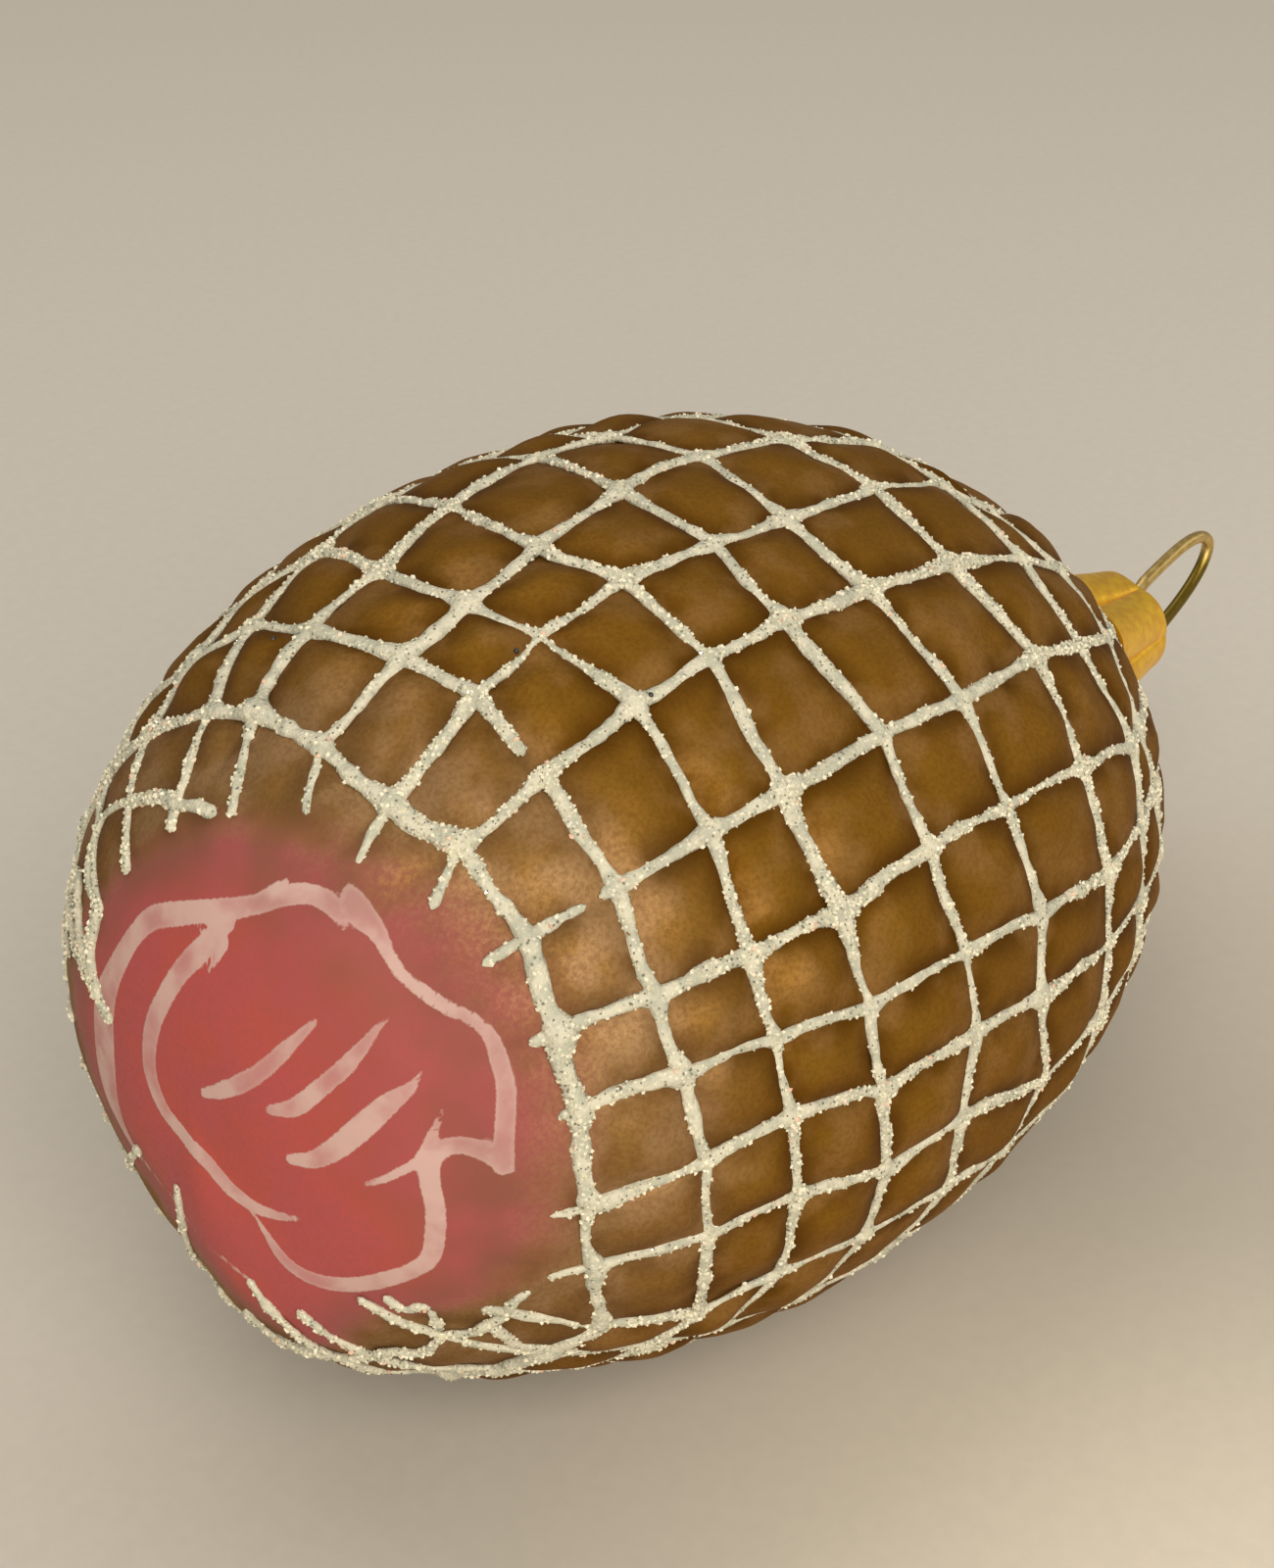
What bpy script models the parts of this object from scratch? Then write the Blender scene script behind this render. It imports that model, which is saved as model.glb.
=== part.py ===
"""A blown-glass hanging ornament in the shape of a netted, glazed ham.

Three pieces: the glass ham with its neck, the fluted metal cap that sits over the neck,
and the wire loop whose two legs go through the cap. The ham lies on its broad side, as it
does in the photograph, with its cap end a little lower than its cut face.

Work is done in the ham's own frame: X runs along its axis from the middle of the cut face
to the cap, Z is up and -Y is the side that the photograph shows. The finished pieces are
then tipped to lie down and set with the middle of their box over the origin.
"""

import math

import bmesh
import bpy
from mathutils import Matrix, Vector

MM = 0.001

# Driving sizes, in millimetres and degrees
BODY_LENGTH = 95.0
OVAL = 0.035
OVAL_ANGLE = 112.0
CAP_END_DROP = 4.0
FLAT_SPOT_DEPTH = 0.75
FLAT_SPOT_AT = 42.0
FLAT_SPOT_HALF_LENGTH = 8.0
FLAT_SPOT_HALF_WIDTH = 5.5

# The ham's outline: distance along the axis and radius, from the middle of the cut face
OUTLINE = (
    (-2.2, 0.0), (-1.8, 6.4), (0.2, 13.0), (3.2, 17.2), (7.6, 20.7), (15.2, 24.9), (26.6, 28.3),
    (40.0, 29.4), (53.2, 28.2), (66.0, 23.7), (77.5, 16.0), (86.5, 9.2), (91.0, 5.7), (92.8, 4.5), (95.0, 3.9),
)
OUTLINE_STEPS = 24
NECK_SIDE_SHIFT = -0.9
NECK_LOW_SHIFT = -1.0
NECK_SHIFT_FROM = 52.0
NECK_RADIUS = 3.6
NECK_END = 99.8

# The heel, a low swelling of the face's rim where the ham lies lowest
HEEL_AT = 4.0
HEEL_ANGLE = 168.0
HEEL_HEIGHT = 1.6
HEEL_LENGTH = 7.0
HEEL_SPREAD = 26.0

# The net: hoops by their place along the axis, runners by their angle from the top
HOOP_AT = (8.0, 13.6, 19.2, 26.0, 34.1, 42.1, 51.0, 59.6, 70.5, 79.5, 87.5)
RUNNER_ANGLE = (
    112.0, 99.5, 88.3, 77.0, 64.8, 49.5, 31.3, 15.6, 1.3, -14.5, -26.0, -39.5, -53.0,
    -67.5, -81.0, -95.5, -109.0, -123.0, -137.0, -150.5, -164.5, -178.0, -192.0, -206.0, -219.5, -234.0,
)
FACE_HOOP_LEAN = 1.8
FACE_HOOP_LEAN_ANGLE = 125.0
LEANING_HOOPS = 3.5
HOOP_SWAY = 0.27
RUNNER_SWAY = 0.65
LINE_HEIGHT = 0.45
LINE_HALF_WIDTH = 0.12
ON_LINE = 0.01
STUB_FROM = 0.83
PILLOW_HEIGHT = 0.95
PILLOW_PER_WIDTH = 0.13
HUMP_FULLNESS = 0.8

# Rows and columns of the ham's mesh inside one cell of the net, as fractions of the cell
CELL_STEPS = (0.0, LINE_HALF_WIDTH, 0.5, 1.0 - LINE_HALF_WIDTH)
FACE_ROWS = (0.18, 0.42, 0.66, 0.84, 0.92)
SHOULDER_ROWS = (0.3, 0.65, 1.0)

# The cap: height of its crown above its rim, and radii
CAP_RIM_AT = 93.0
CAP_HEIGHT = 10.2
CAP_CROWN_RADIUS = 4.3
CAP_RIM_RADIUS = 5.7
CAP_EDGE_ROUND = 0.7
CAP_SHEET = 0.35
CAP_FLUTES = 7
CAP_FLUTE_DEPTH = 0.07
CAP_COLUMNS_PER_FLUTE = 7
CAP_SKIRT_ROWS = 4

# The hanging loop of wire, drawn upright over the crown and then turned a little round it
WIRE_RADIUS = 0.5
LEG_SPACING = 5.2
LEG_BELOW_CROWN = 1.3
LEG_STRAIGHT = 2.0
LOOP_LEAN = 22.0
LOOP_RISE = 11.3
LOOP_TURN = 10.0
HOLE_CLEARANCE = 0.3
WIRE_SIDES = 8
HOLE_SIDES = 16
SHARP_ANGLE = 40.0

COLOURS = {
    "glass_body": (0.30, 0.17, 0.06, 1.0),
    "cap": (0.78, 0.53, 0.15, 1.0),
    "hanging_loop": (0.62, 0.47, 0.20, 1.0),
}


def clear_scene():
    for old in list(bpy.data.objects):
        bpy.data.objects.remove(old, do_unlink=True)


def smooth_step(value):
    value = min(max(value, 0.0), 1.0)
    return value * value * (3.0 - 2.0 * value)


def catmull_rom(points, steps):
    """A smooth curve through the given points, as a list of points on it."""
    ends = [2 * points[0] - points[1]] + list(points) + [2 * points[-1] - points[-2]]
    curve = []
    for before, start, end, after in zip(ends, ends[1:], ends[2:], ends[3:]):
        for step in range(steps):
            t = step / steps
            curve.append(0.5 * (2 * start + (end - before) * t
                                + (2 * before - 5 * start + 4 * end - after) * t * t
                                + (3 * start - 3 * end + after - before) * t ** 3))
    curve.append(points[-1])
    return curve


class Outline:
    """The ham's half outline, measured by the distance travelled along it from the face."""

    def __init__(self):
        self.points = catmull_rom([Vector(point) for point in OUTLINE], OUTLINE_STEPS)
        self.travel = [0.0]
        for start, end in zip(self.points, self.points[1:]):
            self.travel.append(self.travel[-1] + (end - start).length)

    def segment(self, travel):
        last = len(self.points) - 2
        index = 0
        while index < last and self.travel[index + 1] < travel:
            index += 1
        part = (travel - self.travel[index]) / (self.travel[index + 1] - self.travel[index])
        return index, part

    def at(self, travel):
        """The point at this distance and the outward normal there, as (along, out) pairs."""
        index, part = self.segment(travel)
        start, end = self.points[index], self.points[index + 1]
        run = (end - start).normalized()
        return start.lerp(end, part), Vector((-run.y, run.x))

    def travel_at_station(self, station):
        for index in range(1, len(self.points)):
            if self.points[index].x >= station and self.travel[index] > OUTLINE[2][1]:
                start, end = self.points[index - 1], self.points[index]
                part = (station - start.x) / (end.x - start.x)
                return self.travel[index - 1] + part * (self.travel[index] - self.travel[index - 1])
        return self.travel[-1]


def hoop_station(hoop):
    """Place along the axis of a hoop, or of any point between two hoops."""
    last = len(HOOP_AT) - 2
    index = min(max(int(math.floor(hoop)), 0), last)
    return HOOP_AT[index] + (hoop - index) * (HOOP_AT[index + 1] - HOOP_AT[index])


def runner_angle(runner):
    """Angle in degrees of a runner, or of any point between two; it falls by 360 each turn."""
    count = len(RUNNER_ANGLE)
    turns, place = divmod(runner, count)
    index = int(place)
    here = RUNNER_ANGLE[index]
    after = RUNNER_ANGLE[index + 1] if index + 1 < count else RUNNER_ANGLE[0] - 360.0
    return here + (place - index) * (after - here) - 360.0 * turns


def net_station(hoop, runner, angle):
    """Place along the axis of a point of the net: the hoops near the face lean with it."""
    lean = FACE_HOOP_LEAN * max(0.0, 1.0 - hoop / LEANING_HOOPS)
    lean *= math.cos(math.radians(angle - FACE_HOOP_LEAN_ANGLE))
    turn = 2.0 * math.pi * runner / len(RUNNER_ANGLE)
    sway = math.sin(4.0 * turn + 1.9 * hoop) + 0.8 * math.sin(7.0 * turn - 2.6 * hoop)
    return hoop_station(hoop) + lean + HOOP_SWAY * sway


def net_angle(hoop, runner):
    """Angle in degrees of a point of the net, with the runners swaying a little as they go."""
    turn = 2.0 * math.pi * runner / len(RUNNER_ANGLE)
    sway = math.sin(10.0 * turn + 1.3 * hoop) + 0.7 * math.sin(5.0 * turn - 2.2 * hoop)
    return runner_angle(runner) + RUNNER_SWAY * sway


def heel_swelling(station, angle):
    off_angle = (angle - HEEL_ANGLE + 180.0) % 360.0 - 180.0
    reach = ((station - HEEL_AT) / HEEL_LENGTH) ** 2 + (off_angle / HEEL_SPREAD) ** 2
    return HEEL_HEIGHT * math.exp(-reach)


def ham_point(outline, travel, angle, height):
    """A point of the ham's surface, raised by height along the surface normal."""
    point, normal = outline.at(travel)
    spread = 1.0 + OVAL * math.cos(2.0 * math.radians(angle - OVAL_ANGLE))
    shift = smooth_step((point.x - NECK_SHIFT_FROM) / (BODY_LENGTH - NECK_SHIFT_FROM))
    height += heel_swelling(point.x, angle) * smooth_step(point.y / HEEL_LENGTH)
    out = point.y * spread + normal.y * height
    radians = math.radians(angle)
    return Vector((point.x + normal.x * height,
                   -out * math.sin(radians) + shift * NECK_SIDE_SHIFT,
                   out * math.cos(radians) + shift * NECK_LOW_SHIFT))


def hump(fraction):
    """The bulge across one cell: nothing at its edges and 1 in its middle."""
    return math.sin(math.pi * fraction) ** HUMP_FULLNESS


def on_line(place):
    return abs(place - round(place)) < ON_LINE


def relief(hoop, runner, radius):
    """Height of the surface over the plain ham: bulging cells between raised net lines."""
    width = 2.0 * math.pi * radius / len(RUNNER_ANGLE)
    stub = STUB_FROM - 1.0
    fade = smooth_step((hoop - stub) / -stub)
    pillow = min(PILLOW_HEIGHT, PILLOW_PER_WIDTH * width) * fade
    on_net = on_line(runner) if hoop < 0.0 else on_line(runner) or on_line(hoop)
    line = LINE_HEIGHT if on_net and hoop >= stub else 0.0
    return pillow * hump(hoop % 1.0) * hump(runner % 1.0) + line


def ham_rows():
    """The rings of the ham's mesh up to the last hoop, as (hoop, share of the way to it)."""
    rows = [(row - 1.0, row) for row in FACE_ROWS]
    for hoop in range(len(HOOP_AT) - 1):
        rows += [(hoop + step, 1.0) for step in CELL_STEPS]
    rows.append((len(HOOP_AT) - 1.0, 1.0))
    return rows


def ham_rings(outline):
    runners = [whole + step for whole in range(len(RUNNER_ANGLE)) for step in CELL_STEPS]
    rings = []
    for hoop, share in ham_rows():
        ring = []
        for runner in runners:
            on_net = max(hoop, 0.0)
            angle = net_angle(on_net, runner)
            travel = outline.travel_at_station(net_station(on_net, runner, angle)) * share
            radius = outline.at(travel)[0].y
            ring.append(ham_point(outline, travel, angle, relief(hoop, runner, radius)))
        rings.append(ring)
    last = len(HOOP_AT) - 1.0
    for share in SHOULDER_ROWS:
        ring = []
        for runner in runners:
            angle = net_angle(last, runner)
            start = outline.travel_at_station(net_station(last, runner, angle))
            travel = start + share * (outline.travel[-1] - start)
            ring.append(ham_point(outline, travel, angle, 0.0))
        rings.append(ring)
    for station, radius in ((BODY_LENGTH + 0.5, NECK_RADIUS), (NECK_END, NECK_RADIUS)):
        ring = []
        for runner in runners:
            radians = math.radians(net_angle(last, runner))
            ring.append(Vector((station,
                                -radius * math.sin(radians) + NECK_SIDE_SHIFT,
                                radius * math.cos(radians) + NECK_LOW_SHIFT)))
        rings.append(ring)
    return rings


def new_object(name, mesh_builder):
    mesh = bpy.data.meshes.new(name)
    shape = bmesh.new()
    mesh_builder(shape)
    bmesh.ops.triangulate(shape, faces=shape.faces[:])
    bmesh.ops.recalc_face_normals(shape, faces=shape.faces[:])
    shape.to_mesh(mesh)
    shape.free()
    made = bpy.data.objects.new(name, mesh)
    bpy.context.collection.objects.link(made)
    return made


def skin_rings(shape, rings, start_point=None, end_point=None):
    """Faces between rings of points, with a fan to a point at either end where one is given."""
    loops = [[shape.verts.new(point) for point in ring] for ring in rings]
    for lower, upper in zip(loops, loops[1:]):
        for index in range(len(lower)):
            after = (index + 1) % len(lower)
            shape.faces.new((lower[index], lower[after], upper[after], upper[index]))
    for point, loop in ((start_point, loops[0]), (end_point, loops[-1])):
        if point is not None:
            tip = shape.verts.new(point)
            for index in range(len(loop)):
                shape.faces.new((tip, loop[index], loop[(index + 1) % len(loop)]))
    return loops


def make_glass_body():
    outline = Outline()
    rings = ham_rings(outline)
    face_middle = Vector((OUTLINE[0][0], 0.0, 0.0))
    neck_middle = Vector((NECK_END, NECK_SIDE_SHIFT, NECK_LOW_SHIFT))

    def build(shape):
        skin_rings(shape, rings, face_middle, neck_middle)
    return new_object("glass_body", build)


def press_flat_spot(body):
    """Press the lowest bulges onto one level, with one oval flat spot under the ham's middle."""
    level = min(vertex.co.z for vertex in body.data.vertices) + FLAT_SPOT_DEPTH
    for vertex in body.data.vertices:
        reach = (((vertex.co.x - FLAT_SPOT_AT) / FLAT_SPOT_HALF_LENGTH) ** 2
                 + (vertex.co.y / FLAT_SPOT_HALF_WIDTH) ** 2)
        if vertex.co.z < level or (vertex.co.z < 0.0 and reach < 1.0):
            vertex.co.z = level


def flute(angle, depth):
    """Cap radius as a share: rounded lobes that meet in creases."""
    return 1.0 - depth * (1.0 - abs(math.sin(0.5 * CAP_FLUTES * angle)) ** 0.6)


def cap_profile(inset):
    """(height above the rim, radius, depth of the flutes) from the crown's middle outwards."""
    top = CAP_HEIGHT - inset
    crown = CAP_CROWN_RADIUS - inset
    rim = CAP_RIM_RADIUS - inset
    edge = CAP_EDGE_ROUND
    rows = [(top, crown - edge, 0.0), (top - 0.3 * edge, crown - 0.3 * edge, 0.2)]
    for step in range(CAP_SKIRT_ROWS + 1):
        share = step / CAP_SKIRT_ROWS
        height = (top - edge) * (1.0 - share)
        rows.append((height, crown + (rim - crown) * share ** 1.2, 0.35 + 0.65 * share))
    return rows


def cap_ring(height, radius, depth):
    columns = CAP_FLUTES * CAP_COLUMNS_PER_FLUTE
    ring = []
    for column in range(columns):
        angle = 2.0 * math.pi * column / columns
        out = radius * flute(angle, depth * CAP_FLUTE_DEPTH)
        ring.append(Vector((CAP_RIM_AT + height,
                            -out * math.sin(angle) + NECK_SIDE_SHIFT,
                            out * math.cos(angle) + NECK_LOW_SHIFT)))
    return ring


def cap_middle(height):
    return Vector((CAP_RIM_AT + height, NECK_SIDE_SHIFT, NECK_LOW_SHIFT))


def loop_point(along, up):
    """A point of the loop's plane: along the cap's axis from the crown, and up from its middle."""
    turn = math.radians(LOOP_TURN)
    return cap_middle(CAP_HEIGHT) + Vector((along, up * math.sin(turn), up * math.cos(turn)))


def leg_root(side):
    """Where a leg of the loop passes the crown: side is 1 for the upper leg, -1 for the lower."""
    return loop_point(0.0, side * LEG_SPACING / 2.0)


def make_leg_hole(side):
    """A round cutter through the crown, wider than the wire by its clearance."""
    def build(shape):
        bmesh.ops.create_cone(shape, cap_ends=True, segments=HOLE_SIDES, depth=4.0 * CAP_SHEET,
                              radius1=WIRE_RADIUS + HOLE_CLEARANCE, radius2=WIRE_RADIUS + HOLE_CLEARANCE)
        bmesh.ops.rotate(shape, verts=shape.verts[:], matrix=Matrix.Rotation(math.radians(90.0), 3, "Y"))
        bmesh.ops.translate(shape, verts=shape.verts[:],
                            vec=leg_root(side) - Vector((CAP_SHEET / 2.0, 0.0, 0.0)))
    cutter = new_object("leg_hole_upper" if side > 0 else "leg_hole_lower", build)
    cutter.hide_render = True
    cutter.display_type = "WIRE"
    return cutter


def make_cap():
    outer = [cap_ring(*row) for row in cap_profile(0.0)]
    inner = [cap_ring(*row) for row in reversed(cap_profile(CAP_SHEET))]

    def build(shape):
        skin_rings(shape, outer + inner, cap_middle(CAP_HEIGHT), cap_middle(CAP_HEIGHT - CAP_SHEET))
    return new_object("cap", build)


def loop_path():
    """Centre line of the wire: up one leg, round the leaning loop and down the other leg."""
    half = LEG_SPACING / 2.0
    lean = math.radians(LOOP_LEAN)
    bends = []
    bends.append((-LEG_BELOW_CROWN, half))
    bends.append((LEG_STRAIGHT * 0.55, half))
    for share, width in ((0.12, 0.98), (0.35, 0.96), (0.6, 0.88), (0.8, 0.70), (0.94, 0.40), (1.0, 0.0),
                         (0.94, -0.40), (0.8, -0.70), (0.6, -0.88), (0.35, -0.96), (0.12, -0.98)):
        rise = share * LOOP_RISE
        out = width * half * math.cos(lean)
        bends.append((LEG_STRAIGHT + rise * math.cos(lean) - out * math.sin(lean),
                      rise * math.sin(lean) + out * math.cos(lean)
                      + width * half * math.sin(lean) ** 2 * (1.0 - share)))
    bends.append((LEG_STRAIGHT * 0.55, -half))
    bends.append((-LEG_BELOW_CROWN, -half))
    return catmull_rom([loop_point(along, up) for along, up in bends], 3)


def as_mesh_object(made):
    """The curve object's evaluated tube as a plain mesh object of the same name."""
    mesh = bpy.data.meshes.new_from_object(made.evaluated_get(bpy.context.evaluated_depsgraph_get()))
    name = made.name
    bpy.data.objects.remove(made, do_unlink=True)
    mesh.name = name
    plain = bpy.data.objects.new(name, mesh)
    bpy.context.collection.objects.link(plain)
    return plain


def make_hanging_loop():
    points = loop_path()
    curve = bpy.data.curves.new("hanging_loop", "CURVE")
    curve.dimensions = "3D"
    curve.bevel_depth = WIRE_RADIUS
    curve.bevel_resolution = WIRE_SIDES // 4
    curve.use_fill_caps = True
    spline = curve.splines.new("POLY")
    spline.points.add(len(points) - 1)
    for place, point in zip(spline.points, points):
        place.co = (*point, 1.0)
    made = bpy.data.objects.new("hanging_loop", curve)
    bpy.context.collection.objects.link(made)
    return as_mesh_object(made)


def add_material(made):
    material = bpy.data.materials.new(made.name)
    material.use_nodes = True
    shader = material.node_tree.nodes["Principled BSDF"]
    shader.inputs["Base Color"].default_value = COLOURS[made.name]
    shader.inputs["Roughness"].default_value = 0.35
    shader.inputs["Metallic"].default_value = 0.0 if made.name == "glass_body" else 1.0
    made.data.materials.append(material)


def lay_down(pieces):
    """Tip the pieces about Y, so that the cap's end is the lower one."""
    for piece in pieces:
        piece.data.transform(Matrix.Rotation(math.radians(CAP_END_DROP), 4, "Y"))


def box_of(pieces):
    corners = [vertex.co for piece in pieces for vertex in piece.data.vertices]
    low = Vector(min(corner[axis] for corner in corners) for axis in range(3))
    high = Vector(max(corner[axis] for corner in corners) for axis in range(3))
    return low, high


def stand_on_floor(pieces, guides):
    """Put the middle of the pieces' box over the origin, lowest point at zero, in metres."""
    low, high = box_of(pieces)
    middle = (low + high) / 2.0
    place = Matrix.Scale(MM, 4) @ Matrix.Translation(Vector((-middle.x, -middle.y, -low.z)))
    for piece in pieces + guides:
        piece.data.transform(place)


def main():
    clear_scene()
    body = make_glass_body()
    cap = make_cap()
    loop = make_hanging_loop()
    pieces = [body, cap, loop]
    cutters = [make_leg_hole(side) for side in (1, -1)]
    for cutter in cutters:
        cut = cap.modifiers.new(cutter.name, "BOOLEAN")
        cut.object = cutter
        cut.operation = "DIFFERENCE"
        cut.solver = "EXACT"
    lay_down(pieces + cutters)
    press_flat_spot(body)
    stand_on_floor(pieces, cutters)
    for piece in pieces:
        add_material(piece)
        piece.data.shade_smooth()
        piece.data.set_sharp_from_angle(angle=math.radians(SHARP_ANGLE))


main()
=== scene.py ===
"""The looks of a blown-glass hanging ornament in the shape of a netted, glazed ham.

The glass ham, its net of glitter paste, the cap and the wire loop follow the CAD model, except
that the net's crossings, the cap's lobes and the loop follow the photograph more closely.
Work is done in the ham's own frame, in millimetres: X runs along its axis from the middle of the
cut face to the cap, Z is up and -Y is the side that the photograph shows. in_frame() tips the ham
onto its broad side and gives metres in the frame.
"""

import math
import random

import bmesh
import bpy
import numpy as np
from mathutils import Matrix, Vector, kdtree, noise
from mathutils.bvhtree import BVHTree


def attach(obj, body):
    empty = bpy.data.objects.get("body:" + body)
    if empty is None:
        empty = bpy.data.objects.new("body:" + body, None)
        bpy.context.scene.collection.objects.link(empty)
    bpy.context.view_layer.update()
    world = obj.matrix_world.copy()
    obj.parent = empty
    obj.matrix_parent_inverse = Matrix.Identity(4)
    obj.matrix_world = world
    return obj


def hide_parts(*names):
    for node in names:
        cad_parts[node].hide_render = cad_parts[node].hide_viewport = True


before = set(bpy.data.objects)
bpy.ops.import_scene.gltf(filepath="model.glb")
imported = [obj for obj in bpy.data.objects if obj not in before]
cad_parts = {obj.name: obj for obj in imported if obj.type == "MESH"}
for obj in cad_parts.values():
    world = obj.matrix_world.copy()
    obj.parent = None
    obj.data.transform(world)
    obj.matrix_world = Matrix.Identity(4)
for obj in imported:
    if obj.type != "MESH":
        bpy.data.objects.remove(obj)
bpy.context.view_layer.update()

MM = 0.001

# The ham's driving sizes, in millimetres and degrees, as in the CAD model
BODY_LENGTH = 95.0
OVAL = 0.035
OVAL_ANGLE = 112.0
CAP_END_DROP = 4.0
HAM_ORIGIN = (-56.607, -0.004, 31.799)
OUTLINE = (
    (-2.2, 0.0), (-1.8, 6.4), (0.2, 13.0), (3.2, 17.2), (7.6, 20.7), (15.2, 24.9), (26.6, 28.3),
    (40.0, 29.4), (53.2, 28.2), (66.0, 23.7), (77.5, 16.0), (86.5, 9.2), (91.0, 5.7), (92.8, 4.5),
    (95.0, 3.9),
)
OUTLINE_STEPS = 24
NECK_SIDE_SHIFT = -0.9
NECK_LOW_SHIFT = -1.0
NECK_SHIFT_FROM = 52.0
NECK_RADIUS = 3.6
NECK_FOOT = 95.5
NECK_END = 99.8
HEEL_AT = 4.0
HEEL_ANGLE = 168.0
HEEL_HEIGHT = 1.6
HEEL_LENGTH = 7.0
HEEL_SPREAD = 26.0
FLAT_SPOT_AT = 42.0
FLAT_SPOT_HALF_LENGTH = 8.0
FLAT_SPOT_HALF_WIDTH = 5.5
FLAT_SPOT_BELOW = 9.5

# The net as the CAD model has it, but for the last three hoops, which sit nearer to the middle
HOOP_AT = (8.0, 13.6, 19.2, 26.0, 34.1, 42.1, 51.0, 59.6, 66.4, 76.0, 87.0)
RUNNER_ANGLE = (
    112.0, 99.5, 88.3, 77.0, 64.8, 49.5, 31.3, 15.6, 1.3, -14.5, -26.0, -39.5, -53.0, -67.5, -81.0,
    -95.5, -109.0, -123.0, -137.0, -150.5, -164.5, -178.0, -192.0, -206.0, -219.5, -234.0,
)
HOOPS = len(HOOP_AT)
RUNNERS = len(RUNNER_ANGLE)
NEAR_RUNNERS = 13
FACE_HOOP_LEAN = 1.8
FACE_HOOP_LEAN_ANGLE = 125.0
LEANING_HOOPS = 3.5
HOOP_SWAY = 0.27
RUNNER_SWAY = 0.65

# Where the net's lines cross in the photograph, in its pixels: for each hoop from the face on,
# the runners from the lowest that shows to the highest. FIRST_RUNNER says where a row starts,
# MOST_STRAY how far a crossing may move in travel and angle, and STRAY_FADE what share of that the
# next hidden crossings take.
CROSSINGS = (
    ((614, 1356), (609, 1296), (604, 1236), (595, 1133), (572, 1054), (540, 956), (470, 862),
     (397, 815), (325, 755), (257, 722), (213, 722), (150, 745)),
    ((713, 1343), (727, 1262), (724, 1188), (703, 1098), (672, 1018), (632, 905), (557, 787),
     (485, 705), (410, 665), (315, 638), (255, 635), (190, 662)),
    ((797, 1302), (818, 1222), (813, 1140), (797, 1062), (772, 975), (728, 848), (650, 715),
     (550, 645), (477, 612), (390, 578), (325, 562), (265, 582)),
    ((884, 1262), (908, 1197), (905, 1115), (893, 1030), (863, 930), (803, 808), (725, 668),
     (635, 587), (548, 552), (460, 513), (388, 512)),
    ((967, 1213), (985, 1142), (1000, 1055), (990, 972), (952, 865), (903, 748), (803, 628),
     (728, 550), (633, 495), (548, 463)),
    ((1067, 1105), (1067, 1020), (1067, 935), (1033, 823), (985, 712), (887, 597), (803, 525),
     (715, 463)),
    ((1125, 1037), (1135, 965), (1135, 893), (1108, 783), (1060, 668), (973, 572), (893, 494),
     (803, 446)),
    ((1168, 917), (1169, 842), (1158, 762), (1105, 658), (1045, 567), (965, 492)),
    ((1165, 745), (1133, 651), (1080, 577), (1003, 517), (943, 479)),
)
FIRST_RUNNER = (0, 0, 0, 0, 0, 1, 1, 2, 4)
MOST_STRAY = (3.6, 8.0)
STRAY_FADE = (0.66, 0.33)

# Between crossings runners arc up on the ham's sides and hang on its top, hoops bulge to the face
RUNNER_ARC = 0.32
ARC_TURNS_AT = 45.0
ARC_TURN_WIDTH = 25.0
HOOP_ARC = 0.35

# Where the net's lines break off: hoop or runner, and the stretch that is missing
HOOP_JOIN = 14.4
HOOP_OVERLAP = 0.12
HOOP_GAPS = ((1, 32.1, 32.24),)
RUNNER_GAPS = ((5, 0.64, 0.8),)

# Where the runners' stubs end in the photograph, by runner, and the odd strokes there
STUB_ENDS = {
    0: (492, 1338), 1: (557, 1308), 2: (563, 1243), 3: (573, 1143), 4: (540, 1067), 5: (493, 985),
    6: (440, 927), 7: (363, 882), 8: (311, 828), 9: (232, 832), 10: (170, 847), 11: (125, 891),
    12: (98, 932), 13: (110, 1044), 18: (137, 1175), 20: (177, 1213), 23: (249, 1308), 24: (300, 1341),
}
HIDDEN_STUB_ENDS = (14.0, 15.8)
HIDDEN_STUB_SWAY = (-3.0, 3.0)
ODD_STROKES = (
    ((391, 1327), (403, 1337), (414, 1341), (428, 1337), (437, 1341)),
    ((437, 1341), (442, 1352), (448, 1362)),
    ((606, 1359), (595, 1373), (584, 1380), (567, 1382), (548, 1379), (528, 1376), (517, 1369),
     (503, 1359)),
)

# The inner ring, an extra hoop round the far part of the face: pixels where it shows, and between
# them its (travel, angle) on the hidden side
INNER_RING_ABOVE = (
    (217, 829), (202, 822), (183, 819), (164, 813), (145, 813), (129, 817), (112, 822), (100, 834),
    (91, 858), (86, 882), (88, 906), (95, 925), (91, 945), (87, 966), (89, 990), (95, 1017),
)
INNER_RING_HIDDEN = (
    (17.2, -62.0), (17.2, -85.0), (17.6, -110.0), (17.4, -135.0), (17.8, -160.0), (17.6, -185.0),
)
INNER_RING_BELOW = (
    (328, 1386), (350, 1391), (375, 1389), (398, 1385), (420, 1386), (437, 1381), (450, 1368),
    (464, 1366), (481, 1365), (498, 1357), (514, 1347), (525, 1334), (541, 1320),
)

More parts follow.
